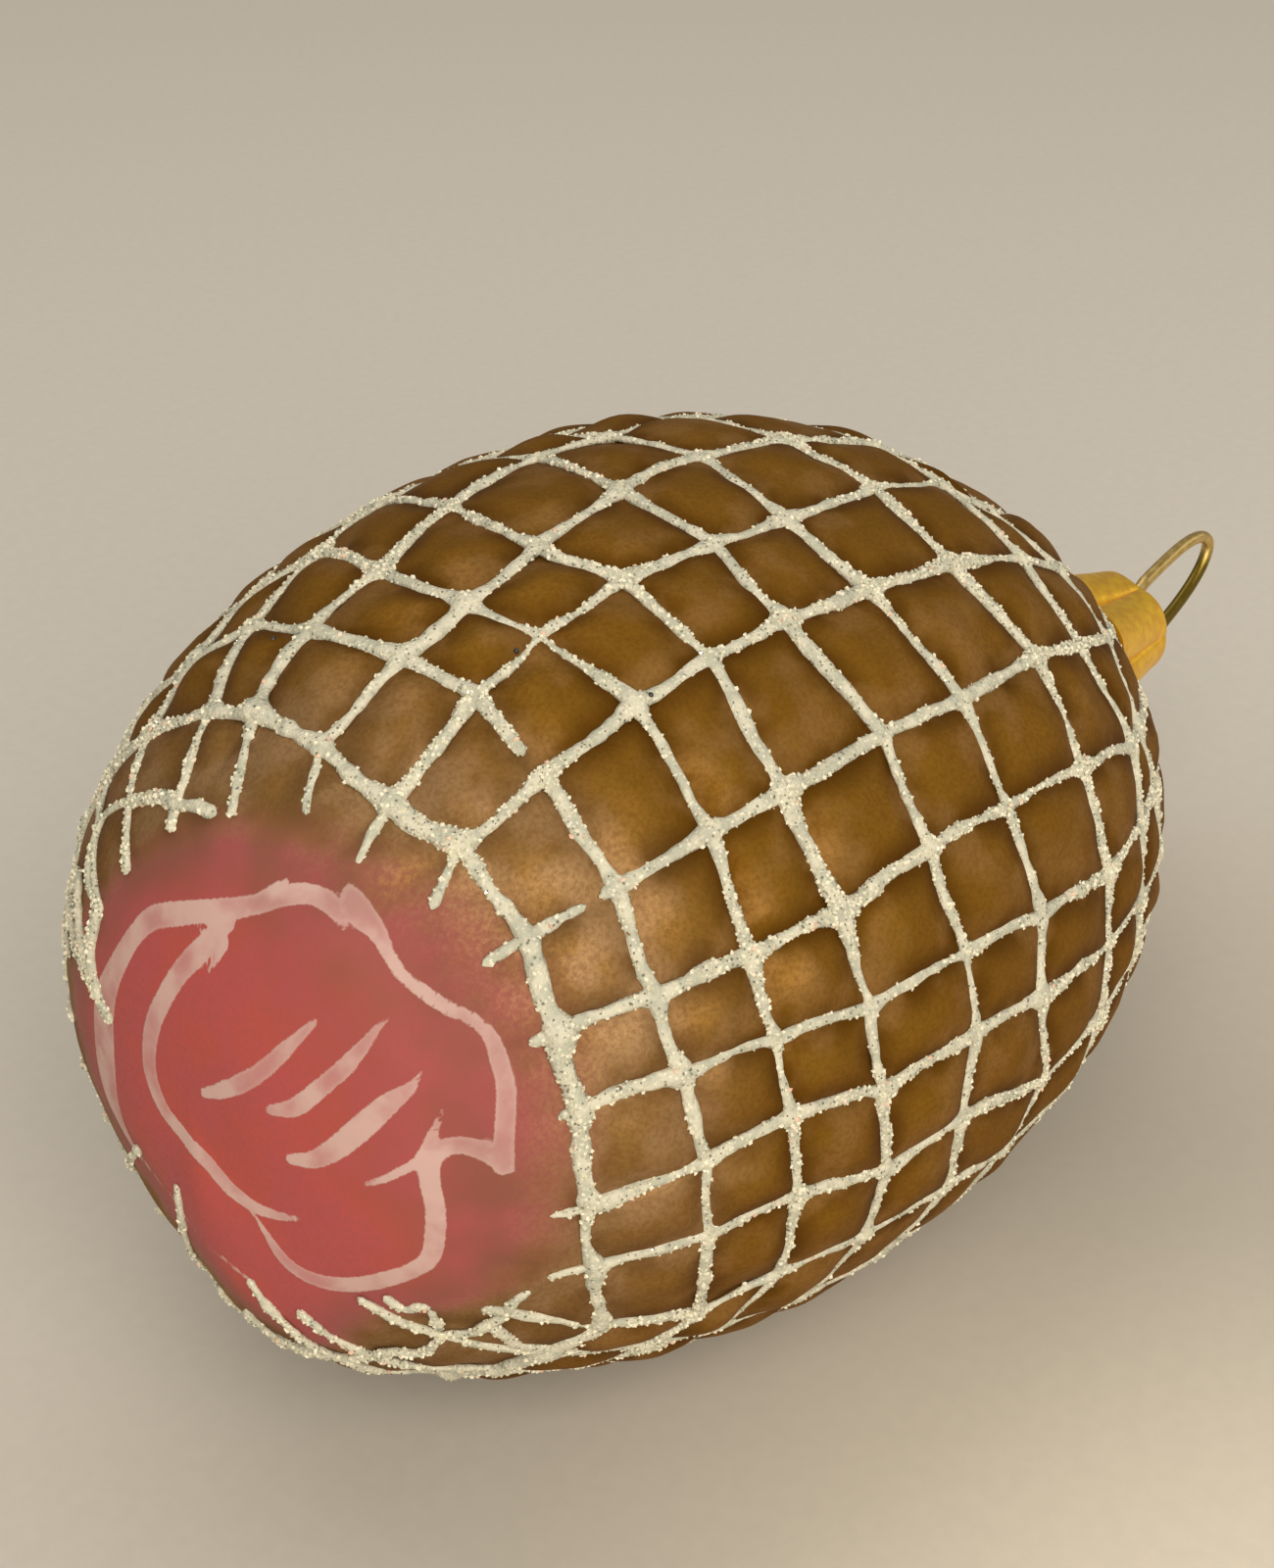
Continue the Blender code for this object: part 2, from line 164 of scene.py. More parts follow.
# Where the pink stops, as pixels and how soft its edge is in millimetres; then the same on the
# hidden side, as (travel, angle, softness)
PINK_EDGE_SHOWN = (
    (106, 900, 1.2), (142, 866, 1.3), (213, 838, 1.5), (284, 838, 1.8), (355, 872, 2.4),
    (426, 908, 2.8), (482, 944, 3.0), (525, 996, 3.2), (556, 1053, 3.2), (572, 1138, 3.2),
    (565, 1223, 3.0), (550, 1290, 2.2), (500, 1325, 1.4), (440, 1343, 1.2), (389, 1345, 1.0),
    (362, 1365, 1.0), (335, 1385, 1.0),
)
PINK_EDGE_HIDDEN = (
    (14.0, -70.0, 1.2), (13.0, -110.0, 1.2), (12.0, -150.0, 1.0), (12.5, -180.0, 1.0),
)

# The bead of paste: half its width, how flat it is, how deep it sits and how it varies. Each row
# of WIDTH_NOISE has the size of its swellings, a seed and their strength.
BEAD_HALF_WIDTH = 0.42
STUB_HALF_WIDTH = 0.33
INNER_RING_EXTRA = 1.15
BEAD_FLATNESS = 0.70
BEAD_LIFT = 0.10
BEAD_STEP = 0.22
BEAD_SIDES = 9
LINE_WOBBLE = 0.16
WOBBLE_LENGTH = 2.2
WIDTH_NOISE = ((6.0, 7, 0.5), (2.6, 4, 0.4), (0.9, 5, 0.3))
CRUMBLE_LENGTH = 9.0
CRUMBLE_MIDDLE = 0.55
CRUMBLE_RANGE = 1.5
HOOP_STEP = 0.08
RUNNER_STEP = 0.04
KNOT_SWELLING = 0.34
KNOT_REACH = 0.9
FIRST_HOOP_EXTRA = 0.3
THICK_AT = 7.2
THICK_REACH = 0.9
THICK_EXTRA = 0.4
BEAD_GRAIN_SIZE = 0.3 * MM
BEAD_GRAIN_HEIGHT = 0.28 * MM
CRUMBS = {
    "Grains per Area": 13.0e6, "Radius": 0.155 * MM, "Flatness": 0.75, "Calm": 0.25, "On Top": 0.75,
}
GLITTER = {"Grains per Area": 0.2e6, "Radius": 0.16 * MM, "Flatness": 0.25, "Calm": 0.4}
GLITTER_SEED = 20
SPECKS = ((279, 652), (527, 664), (664, 709), (887, 597))
SPECK_RADIUS = 0.17

# The satin pillows between the lines
PILLOW_HEIGHT = 0.68
PILLOW_PER_WIDTH = 0.105
PILLOW_SPREAD = 0.2
PILLOW_SLOPE = 0.7
HUMP_FULLNESS = 0.7
CELL_COLUMNS = 14
CELL_ROWS = 16
FACE_ROWS = 44
SHOULDER_ROWS = 8
STUB_REACH = 0.3
DENT_SIZE = 4.5
DENT_DEPTH = 0.32
FINE_DENT_SIZE = DENT_SIZE / 2.3
FINE_DENT_SHARE = 0.4
DENTS_FROM = 6.0
DENTS_GROW_OVER = 16.0

# The white brush strokes on the face, as (x, y, width) in the photograph's pixels
STROKES_END = 16.0
BRUSH_STROKES = (
    ((350, 945, 10), (337, 923, 22), (317, 912, 22), (290, 912, 24), (257, 922, 22), (220, 928, 24),
     (180, 932, 26), (150, 937, 26), (133, 953, 24), (120, 973, 26), (107, 1000, 32), (100, 1027, 42),
     (100, 1073, 46), (107, 1120, 36), (121, 1157, 18), (136, 1182, 10), (152, 1203, 7), (172, 1229, 7),
     (194, 1261, 7), (224, 1289, 7), (248, 1309, 6), (266, 1317, 3)),
    ((290, 894, 2), (280, 905, 14), (262, 918, 18)),
    ((224, 965, 12), (213, 983, 8), (203, 998, 1)),
    ((227, 940, 22), (203, 967, 27), (180, 990, 25), (163, 1017, 24), (150, 1047, 24), (146, 1080, 22),
     (150, 1107, 21), (163, 1137, 20), (183, 1163, 19), (207, 1190, 18), (230, 1217, 18),
     (257, 1237, 16), (280, 1245, 12), (302, 1248, 6)),
    ((353, 896, 4), (357, 912, 20), (363, 927, 30), (383, 950, 20), (393, 970, 15), (407, 993, 15),
     (427, 1010, 16), (453, 1027, 16), (480, 1040, 17), (500, 1057, 18), (510, 1083, 20),
     (517, 1110, 21), (517, 1140, 22), (515, 1167, 22), (514, 1192, 24)),
    ((520, 1196, 14), (497, 1180, 22), (470, 1173, 20), (450, 1177, 20), (438, 1190, 22),
     (438, 1213, 22), (443, 1240, 22), (443, 1267, 22), (438, 1288, 21), (423, 1300, 20),
     (390, 1312, 22), (357, 1318, 22), (323, 1313, 20), (297, 1300, 17), (280, 1283, 14),
     (267, 1263, 9), (255, 1244, 3)),
    ((453, 1130, 3), (440, 1163, 12), (427, 1187, 12), (410, 1197, 11), (387, 1208, 9), (367, 1213, 5)),
    ((203, 1119, 12), (230, 1113, 20), (260, 1097, 20), (287, 1073, 17), (317, 1045, 8)),
    ((270, 1136, 12), (297, 1133, 20), (323, 1113, 20), (350, 1090, 19), (370, 1067, 14), (398, 1033, 3)),
    ((293, 1187, 13), (317, 1187, 20), (343, 1173, 25), (370, 1150, 27), (397, 1127, 22),
     (420, 1110, 12), (432, 1088, 3)),
)

# The cap, with five creased lobes of which one is bent outwards, and the wire loop
CAP_RIM_AT = 93.0
CAP_HEIGHT = 10.2
CAP_CROWN_RADIUS = 4.3
CAP_CROWN_DOME = 0.15
CAP_RIM_RADIUS = 6.0
CAP_EDGE_ROUND = 0.7
CAP_EDGE_STEPS = 4
CAP_SHEET = 0.35
CAP_LOBES = 5
CAP_CREASE_AT = 12.0
CAP_CREASE_DEPTH = 0.23
CAP_CREASE_SHARPNESS = 0.6
CAP_FLARE_AT = -24.0
CAP_FLARE_SPREAD = 22.0
CAP_FLARE = 0.23
CAP_COLUMNS = 36 * CAP_LOBES
CAP_SKIRT_ROWS = 16
CAP_SHARP_ANGLE = 50.0
WIRE_RADIUS = 0.55
WIRE_SIDES = 20
LEG_SPACING = 5.2
LEG_BELOW_CROWN = 1.3
LEG_STRAIGHT = 2.0
LOOP_WIDTH = 6.4
LOOP_LEAN = 19.6
LOOP_RISE = 12.2
LOOP_TURN = 1.0
LOOP_BENDS = (
    (0.12, 0.98), (0.35, 0.96), (0.6, 0.88), (0.8, 0.70), (0.94, 0.40), (1.0, 0.0),
    (0.94, -0.40), (0.8, -0.70), (0.6, -0.88), (0.35, -0.96), (0.12, -0.98),
)
HOLE_RADIUS = 0.85
HOLE_SIDES = 20

# Colours, as linear red, green, blue and alpha, and shine
# Dark brown: lacquer pooled beside the lines with painted shade in those creases, also the brown's dark
# speckle
BROWN_DARK_AND_SHADE = (0.095, 0.036, 0.003, 1.0)
BROWN_MIDDLE = (0.232, 0.108, 0.012, 1.0)
BROWN_LIGHT = (0.32, 0.165, 0.05, 1.0)
# Painted golden sheen near the face, standing for the soft highlight there
PAINTED_SHEEN_NEAR_FACE = (0.34, 0.197, 0.09, 1.0)
PINK_EDGE = (0.25, 0.085, 0.06, 1.0)
PINK_MIDDLE = (0.46, 0.082, 0.066, 1.0)
PINK_BLUSH = (0.41, 0.082, 0.092, 1.0)
STROKE_WHITE = (0.60, 0.40, 0.34, 1.0)
STROKE_PINK = (0.53, 0.30, 0.27, 1.0)
GLASS_METAL = 0.5
PINK_METAL = 0.05
LACQUER_SHINE = 0.2
LACQUER_EDGE = (0.28, 0.16, 0.06, 1.0)
PASTE_LIGHT = (0.66, 0.61, 0.45, 1.0)
PASTE_SHADE = (0.48, 0.46, 0.34, 1.0)
PASTE_DARK_GRAIN = (0.10, 0.095, 0.06, 1.0)
PASTE_BRIGHT_GRAIN = (0.86, 0.80, 0.60, 1.0)
CRUMB_TONES = (
    (0.0, (0.05, 0.048, 0.03, 1.0)), (0.13, (0.16, 0.15, 0.10, 1.0)), (0.24, (0.50, 0.46, 0.32, 1.0)),
    (0.6, (0.68, 0.63, 0.45, 1.0)), (0.85, (0.86, 0.80, 0.59, 1.0)), (0.975, (0.88, 0.82, 0.61, 1.0)),
    (0.995, (0.80, 0.50, 0.34, 1.0)),
)
FLAKE_COLOUR = (0.85, 0.80, 0.60, 1.0)
FLAKES_PER_METRE = 2500.0
SPECK_BLACK = (0.010, 0.009, 0.008, 1.0)
GOLD_LIGHT = (1.0, 0.60, 0.03, 1.0)
GOLD_DARK = (0.86, 0.45, 0.03, 1.0)
GOLD_METAL = 0.75
WIRE_LIGHT = (0.72, 0.52, 0.20, 1.0)
WIRE_DARK = (0.56, 0.38, 0.11, 1.0)
# Painted dark reflection of the shade on the wire's lower leg, and where along the wire it starts and is
# full
WIRE_PAINTED_REFLECTION = (0.20, 0.135, 0.018, 1.0)
WIRE_REFLECTION_FROM, WIRE_REFLECTION_TO = 0.50, 0.60
WIRE_METAL = 0.9
# Floor colours: painted shadow round the ham, plain paper further out
FLOOR_PAINTED_SHADOW = (0.52, 0.465, 0.375, 1.0)
FLOOR_FAR = (0.67, 0.612, 0.52, 1.0)
# Painted pool of warm light on the floor
FLOOR_PAINTED_LIGHT = (0.85, 0.75, 0.59, 1.0)
FLOOR_GRIT = (0.3, 0.27, 0.22, 1.0)
FLOOR_SHADOW_AT = (0.0, -0.03, 0.0)
FLOOR_SHADOW_RADIUS = 0.12
FLOOR_LIGHT_AT = (-0.03, -0.06, 0.0)
FLOOR_LIGHT_RADIUS = 0.06

# How large the patches, streaks and grains of the finishes are, in millimetres
CLOUD_SIZE = 4.0
MIST_SIZE = 0.3
STREAK_SIZE = 3.4
PASTE_GRAIN_SIZE = 0.24
STAMP_SIZE = 0.9
WIRE_MARK_SIZE = 0.8
PAPER_GRIT_SIZE = 1.5

# Lamps: name, place in metres, size in metres, power in watts, colour
LAMPS = (
    ("window", (-0.66, -0.81, 0.70), (1.3, 1.0), 17.0, (1.0, 0.965, 0.90)),
    ("ceiling", (0.10, 0.40, 1.10), (0.9, 0.9), 3.0, (1.0, 0.97, 0.93)),
    ("side", (0.75, -0.50, 0.40), (0.5, 0.4), 0.7, (1.0, 0.97, 0.92)),
)
LAMP_TARGET = (0.0, 0.0, 0.03)
WORLD_COLOUR = (1.0, 0.96, 0.90, 1.0)
WORLD_STRENGTH = 0.25
FLOOR_CORNERS = ((-4.0, -4.0, 0.0), (4.0, -4.0, 0.0), (4.0, 4.0, 0.0), (-4.0, 4.0, 0.0))

# The camera, which stands where the photograph's did; PASTE_TOP is how high the lines that it
# shows are above the plain ham
IMAGE_WIDTH = 1300
IMAGE_HEIGHT = 1600
CAMERA_PLACE = (-126.79, -91.58, 117.65)
CAMERA_AZIMUTH = -49.65
CAMERA_ELEVATION = 30.0
FOCAL_PIXELS = 2470.0
SENSOR_WIDTH = 36.0
PASTE_TOP = 0.4


# Curves and the ham's surface
def smooth_step(value):
    value = np.clip(value, 0.0, 1.0)
    return value * value * (3.0 - 2.0 * value)


def spline_weights(t):
    """What the four points round a stretch of a smooth curve weigh at t, from 0 to 1 along it."""
    return (0.5 * (-t + 2 * t ** 2 - t ** 3), 0.5 * (2 - 5 * t ** 2 + 3 * t ** 3),
            0.5 * (t + 4 * t ** 2 - 3 * t ** 3), 0.5 * (-t ** 2 + t ** 3))


def smooth_curve(points, steps):
    """Points on a smooth curve through the given points, with so many steps between two of them."""
    points = np.asarray(points, float)
    ends = np.vstack([2 * points[0] - points[1], points, 2 * points[-1] - points[-2]])
    weights = np.stack(spline_weights(np.arange(steps) / steps), axis=-1)
    stretches = [weights @ ends[start:start + 4] for start in range(len(points) - 1)]
    return np.vstack([*stretches, points[-1]])


def length_along(points):
    return np.append(0.0, np.cumsum(np.linalg.norm(np.diff(points, axis=0), axis=1)))


# The ham's outline: the distance travelled to each of its points, and their place and run
outline = smooth_curve(OUTLINE, OUTLINE_STEPS)
outline_travel = length_along(outline)
outline_columns = np.hstack([outline, np.gradient(outline, outline_travel, axis=0)]).T
TRAVEL_END = outline_travel[-1]


def outline_at(travel):
    """Along and out of the outline's point at this travel, and of its outward normal."""
    along, out, run_along, run_out = (np.interp(travel, outline_travel, column)
                                      for column in outline_columns)
    size = np.hypot(run_along, run_out)
    return along, out, -run_out / size, run_along / size


def ham_surface(travel, angle, height=0.0):
    """Points of the ham's surface in its own frame, raised by height along the outline's normal."""
    along, out, normal_along, normal_out = outline_at(travel)
    spread = 1.0 + OVAL * np.cos(2.0 * np.radians(angle - OVAL_ANGLE))
    shift = smooth_step((along - NECK_SHIFT_FROM) / (BODY_LENGTH - NECK_SHIFT_FROM))
    off_angle = (angle - HEEL_ANGLE + 180.0) % 360.0 - 180.0
    reach = ((along - HEEL_AT) / HEEL_LENGTH) ** 2 + (off_angle / HEEL_SPREAD) ** 2
    height = height + HEEL_HEIGHT * np.exp(-reach) * smooth_step(out / HEEL_LENGTH)
    radius = out * spread + normal_out * height
    turn = np.radians(angle)
    return np.stack([along + normal_along * height,
                     -radius * np.sin(turn) + shift * NECK_SIDE_SHIFT,
                     radius * np.cos(turn) + shift * NECK_LOW_SHIFT], axis=-1)


def ham_normal(travel, angle):
    """Unit outward normals of the plain ham."""
    ahead = ham_surface(travel + 0.2, angle) - ham_surface(np.maximum(travel - 0.2, 0.0), angle)
    around = ham_surface(travel, angle - 1.0) - ham_surface(travel, angle + 1.0)
    normal = np.cross(ahead, around)
    return normal / np.linalg.norm(normal, axis=-1, keepdims=True)


def round_neck(station, radius, turn):
    """Points round the neck's axis, at these turns from the top, in radians."""
    return np.stack([np.full_like(turn, station), NECK_SIDE_SHIFT - radius * np.sin(turn),
                     NECK_LOW_SHIFT + radius * np.cos(turn)], axis=-1)


def in_frame(points):
    """Points of the ham's own frame, in millimetres, as points of the row frame, in metres."""
    tip = math.radians(CAP_END_DROP)
    along, side, up = np.moveaxis(np.asarray(points, float), -1, 0)
    tipped = np.stack([along * math.cos(tip) + up * math.sin(tip), side,
                       up * math.cos(tip) - along * math.sin(tip)], axis=-1)
    return (tipped + HAM_ORIGIN) * MM


def ring_quads(rows, columns):
    """Faces between rings of points."""
    quads = []
    for low in range(0, (rows - 1) * columns, columns):
        for column in range(columns):
            after = (column + 1) % columns
            quads.append((low + column, low + after, low + columns + after, low + columns + column))
    return quads


# The camera and the places on the ham that its pixels show
def camera_matrix():
    turn = (Matrix.Rotation(math.radians(CAMERA_AZIMUTH), 4, "Z")
            @ Matrix.Rotation(math.radians(90.0 - CAMERA_ELEVATION), 4, "X"))
    return Matrix.Translation(Vector(CAMERA_PLACE) * MM) @ turn


class HamTracer:
    """Finds the (travel, angle) of the ham's surface that a pixel of the photograph shows."""

    SIZE = 240

    def __init__(self, height):
        self.height = height
        self.travels = np.linspace(0.5, TRAVEL_END, self.SIZE)
        self.angles = np.linspace(0.0, 360.0, self.SIZE, endpoint=False)
        travel, angle = np.meshgrid(self.travels, self.angles, indexing="ij")
        points = self.point(travel, angle).reshape(-1, 3)
        self.tree = BVHTree.FromPolygons(points.tolist(), ring_quads(self.SIZE, self.SIZE))

    def point(self, travel, angle):
        return in_frame(ham_surface(travel, angle, self.height))

    def place(self, pixel):
        """The (travel, angle) behind this pixel and the millimetres that it spans there, or None."""
        camera = camera_matrix()
        ray = Vector(((pixel[0] - IMAGE_WIDTH / 2) / FOCAL_PIXELS,
                      (IMAGE_HEIGHT / 2 - pixel[1]) / FOCAL_PIXELS, -1.0))
        hit, _, index, distance = self.tree.ray_cast(camera.translation,
                                                     camera.to_3x3() @ ray.normalized())
        if hit is None:
            return None
        travel, angle = self.travels[index // self.SIZE], self.angles[index % self.SIZE]
        for _ in range(3):
            base = self.point(travel, angle)
            ahead = self.point(travel + 0.1, angle) - base
            around = self.point(travel, angle + 0.2) - base
            steps = np.linalg.lstsq(np.stack([ahead, around], axis=1), np.array(hit) - base, rcond=None)[0]
            travel += 0.1 * steps[0]
            angle += 0.2 * steps[1]
        return travel, angle, distance / MM / FOCAL_PIXELS

    def places(self, pixels):
        """The (travel, angle) rows of a list of pixels, without those that miss the ham."""
        found = [self.place(pixel) for pixel in pixels]
        rows = np.array([place[:2] for place in found if place is not None])
        rows[:, 1] = np.degrees(np.unwrap(np.radians(rows[:, 1])))
        return rows


# The net's layout
def regular_net():
    """(travel, angle) of every crossing of the regular net, by hoop and runner."""
    hoop, runner = np.meshgrid(np.arange(HOOPS), np.arange(RUNNERS), indexing="ij")
    turn = 2.0 * np.pi * runner / RUNNERS
    sway = np.sin(10.0 * turn + 1.3 * hoop) + 0.7 * np.sin(5.0 * turn - 2.2 * hoop)
    angle = np.array(RUNNER_ANGLE)[runner] + RUNNER_SWAY * sway
    lean = FACE_HOOP_LEAN * np.maximum(0.0, 1.0 - hoop / LEANING_HOOPS)
    lean *= np.cos(np.radians(angle - FACE_HOOP_LEAN_ANGLE))
    sway = np.sin(4.0 * turn + 1.9 * hoop) + 0.8 * np.sin(7.0 * turn - 2.6 * hoop)
    station = np.array(HOOP_AT)[hoop] + lean + HOOP_SWAY * sway
    return np.stack([np.interp(station, outline[:, 0], outline_travel), angle], axis=-1)


def photographed_net(tracer):
    """The regular net, with the crossings that the photograph shows moved to their places.

    The next crossings of each hoop, just out of sight, move part of the way with them.
    """
    regular = regular_net()
    net = regular.copy()
    most = np.array(MOST_STRAY)
    for hoop, (first, row) in enumerate(zip(FIRST_RUNNER, CROSSINGS)):
        for runner, pixel in enumerate(row, first):
            place = tracer.place(pixel)
            if place is None:
                continue
            strays = np.array(place[:2]) - net[hoop, runner]
            strays[1] -= 360.0 * round(strays[1] / 360.0)
            net[hoop, runner] += np.clip(strays, -most, most)
        for last, step in ((first, -1), (first + len(row) - 1, 1)):
            stray = net[hoop, last] - regular[hoop, last]
            for away, share in enumerate(STRAY_FADE, 1):
                net[hoop, (last + step * away) % RUNNERS] += share * stray
    return net


def net_place(net, hoop, runner):
    """(travel, angle) of points of the net; its crossings are at whole hoops and runners."""
    hoop, runner = np.broadcast_arrays(np.asarray(hoop, float), np.asarray(runner, float))
    low = np.clip(np.floor(hoop).astype(int), 0, HOOPS - 2)
    share = np.clip(hoop - low, 0.0, 1.0)[..., None]
    column = np.floor(runner).astype(int)
    t = (runner - column)[..., None]
    place = np.zeros(hoop.shape + (2,))
    for step, weight in enumerate(spline_weights(t)):
        turns, near = np.divmod(column + step - 1, RUNNERS)
        value = net[low, near] * (1.0 - share) + net[low + 1, near] * share
        value[..., 1] -= 360.0 * turns
        place += weight * value
    radius = outline_at(place[..., 0])[1]
    off_top = (place[..., 1] + 180.0) % 360.0 - 180.0
    lift = np.clip((np.abs(off_top) - ARC_TURNS_AT) / ARC_TURN_WIDTH, -1.0, 1.0) * RUNNER_ARC
    arc = 4.0 * (share * (1.0 - share))[..., 0] * lift * np.where(off_top > 0.0, 1.0, -1.0)
    place[..., 1] -= np.degrees(arc / np.maximum(radius, 4.0))
    place[..., 0] -= 4.0 * (t * (1.0 - t))[..., 0] * HOOP_ARC
    return place


# Meshes and Geometry Nodes
def add_object(name, data):
    made = bpy.data.objects.new(name, data)
    bpy.context.collection.objects.link(made)
    return made


def plain_object(name, points, faces, edges=()):
    """A mesh object of points in the row frame, linked to the scene."""
    mesh = bpy.data.meshes.new(name)
    mesh.from_pydata(np.asarray(points).tolist(), edges, faces)
    return add_object(name, mesh)


def shape_object(name, shape):
    """An object of a bmesh, which is freed."""
    mesh = bpy.data.meshes.new(name)
    shape.to_mesh(mesh)
    shape.free()
    return add_object(name, mesh)


def add_attribute(made, name, values):
    """Stores one number, or one vector, for each point of a mesh."""
    values = np.asarray(values, np.float32)
    kind, field = ("FLOAT", "value") if values.ndim == 1 else ("FLOAT_VECTOR", "vector")
    made.data.attributes.new(name, kind, "POINT").data.foreach_set(field, values.ravel())


def mesh_points(made):
    points = np.empty(len(made.data.vertices) * 3, np.float32)
    made.data.vertices.foreach_get("co", points)
    return points.reshape(-1, 3)


def rest_on_floor(made):
    """Presses a piece flat where the glass rests, as the CAD model is."""
    points = mesh_points(made)
    middle = in_frame((FLAT_SPOT_AT, 0.0, 0.0))
    half_length = FLAT_SPOT_HALF_LENGTH * MM * math.cos(math.radians(CAP_END_DROP))
    reach = (((points[:, 0] - middle[0]) / half_length) ** 2
             + ((points[:, 1] - middle[1]) / (FLAT_SPOT_HALF_WIDTH * MM)) ** 2)
    low = points[:, 2] < FLAT_SPOT_BELOW * MM
    points[(points[:, 2] < 0.0) | (low & (reach < 1.0)), 2] = 0.0
    made.data.vertices.foreach_set("co", points.ravel())
    made.data.update()


def skin_rings(name, rings, start_point, end_point):
    """A closed skin over rings of points, with a fan to a point at either end."""
    rows, columns = rings.shape[:2]
    faces = ring_quads(rows, columns)
    last = (rows - 1) * columns
    for column in range(columns):
        after = (column + 1) % columns
        faces.append((after, column, rows * columns))
        faces.append((last + column, last + after, rows * columns + 1))
    made = plain_object(name, in_frame(np.vstack([rings.reshape(-1, 3), start_point, end_point])), faces)
    shape = bmesh.new()
    shape.from_mesh(made.data)
    bmesh.ops.recalc_face_normals(shape, faces=shape.faces[:])
    shape.to_mesh(made.data)
    shape.free()
    made.data.shade_smooth()
    return made


class Wiring:
    """A node tree that is being wired."""

    def __init__(self, tree):
        self.tree = tree

    def set(self, node, inputs):
        """Links sockets, and sets plain values, on the inputs of a node."""
        for socket, value in inputs.items():
            if isinstance(value, bpy.types.NodeSocket):
                self.tree.links.new(value, node.inputs[socket])
            else:
                node.inputs[socket].default_value = value

    def node(self, kind, inputs=(), **settings):
        made = self.tree.nodes.new(kind)
        for setting, value in settings.items():
            setattr(made, setting, value)
        self.set(made, dict(inputs))
        return made

    def add(self, kind, inputs=(), output=0, **settings):
        """Makes a node and gives one of its outputs."""
        return self.node(kind, inputs, **settings).outputs[output]

    def math(self, operation, first, second):
        return self.add("ShaderNodeMath", {0: first, 1: second}, operation=operation)

    def times(self, first, second):
        return self.math("MULTIPLY", first, second)

    def plus(self, first, second):
        return self.math("ADD", first, second)

    def minus(self, first, second):
        return self.math("SUBTRACT", first, second)

    def ramp(self, value, low, high, to_low=0.0, to_high=1.0):
        """Smooth change from to_low to to_high while value goes from low to high."""
        return self.add("ShaderNodeMapRange", {
            "Value": value, "From Min": low, "From Max": high, "To Min": to_low, "To Max": to_high,
        }, interpolation_type="SMOOTHSTEP")

    def stored(self, name, kind="FLOAT"):
        """A named attribute, within Geometry Nodes."""
        return self.add("GeometryNodeInputNamedAttribute", {"Name": name}, data_type=kind)


def add_inputs(tree, kinds):
    for label, kind in kinds.items():
        tree.interface.new_socket(label, in_out="INPUT", socket_type="NodeSocket" + kind)


def geometry_tree(name, numbers):
    """The wiring of a Geometry Nodes tree and its inputs: a geometry, these numbers, a material."""
    tree = bpy.data.node_groups.new(name, "GeometryNodeTree")
    tree.interface.new_socket("Geometry", in_out="OUTPUT", socket_type="NodeSocketGeometry")
    kinds = {label: "Int" if isinstance(value, int) else "Float" for label, value in numbers.items()}
    add_inputs(tree, {"Geometry": "Geometry", **kinds, "Material": "Material"})
    for item in tree.interface.items_tree:
        if item.name in numbers:
            item.default_value = numbers[item.name]
    wiring = Wiring(tree)
    return wiring, wiring.node("NodeGroupInput").outputs


def painted_tree(wiring, geometry, given):
    """The finished tree, whose result is this geometry in the given material."""
    painted = wiring.add("GeometryNodeSetMaterial", {"Geometry": geometry, "Material": given["Material"]})
    wiring.node("NodeGroupOutput", {0: painted})
    return wiring.tree


def grow(source, tree, name, values):
    """What the tree makes of the source object, as a plain mesh object of its own."""
    modifier = source.modifiers.new(tree.name, "NODES")
    modifier.node_group = tree
    for item in tree.interface.items_tree:
        if item.in_out == "INPUT" and item.name in values:
            modifier[item.identifier] = values[item.name]
    source.update_tag()
    shown = source.evaluated_get(bpy.context.evaluated_depsgraph_get())
    mesh = bpy.data.meshes.new_from_object(shown)
    mesh.name = name
    source.modifiers.remove(modifier)
    return add_object(name, mesh)


def bead_tree():
    """Sweeps a flattened bead along paths and roughens it like grainy paste."""
    wiring, given = geometry_tree("paste_bead", {
        "Sides": BEAD_SIDES, "Flatness": BEAD_FLATNESS, "Grain Size": BEAD_GRAIN_SIZE,
        "Grain Height": BEAD_GRAIN_HEIGHT})
    curve = wiring.add("GeometryNodeMeshToCurve", {"Mesh": given["Geometry"]})
    curve = wiring.add("GeometryNodeSetCurveNormal", {
        "Curve": curve, "Normal": wiring.stored("facing", "FLOAT_VECTOR")}, mode="FREE")
    circle = wiring.add("GeometryNodeCurvePrimitiveCircle", {"Resolution": given["Sides"], "Radius": 1.0})
    squash = wiring.add("ShaderNodeCombineXYZ", {"X": given["Flatness"], "Y": 1.0, "Z": 1.0})
    profile = wiring.add("GeometryNodeTransform", {"Geometry": circle, "Scale": squash})
    swept = wiring.add("GeometryNodeCurveToMesh", {
        "Curve": curve, "Profile Curve": profile, "Scale": wiring.stored("half_width"), "Fill Caps": True})
    coarse = wiring.add("ShaderNodeTexNoise", {
        "Vector": wiring.add("GeometryNodeInputPosition"),
        "Scale": wiring.math("DIVIDE", 1.0, given["Grain Size"]), "Detail": 2.0, "Roughness": 0.7})
    height = wiring.times(wiring.minus(coarse, 0.5), given["Grain Height"])
    height = wiring.times(height, wiring.stored("crumbling"))
    push = wiring.add("ShaderNodeVectorMath", {
        0: wiring.add("GeometryNodeInputNormal"), "Scale": height}, operation="SCALE")
    rough = wiring.add("GeometryNodeSetPosition", {"Geometry": swept, "Offset": push})
    smooth = wiring.add("GeometryNodeSetShadeSmooth", {"Geometry": rough})
    return painted_tree(wiring, smooth, given)


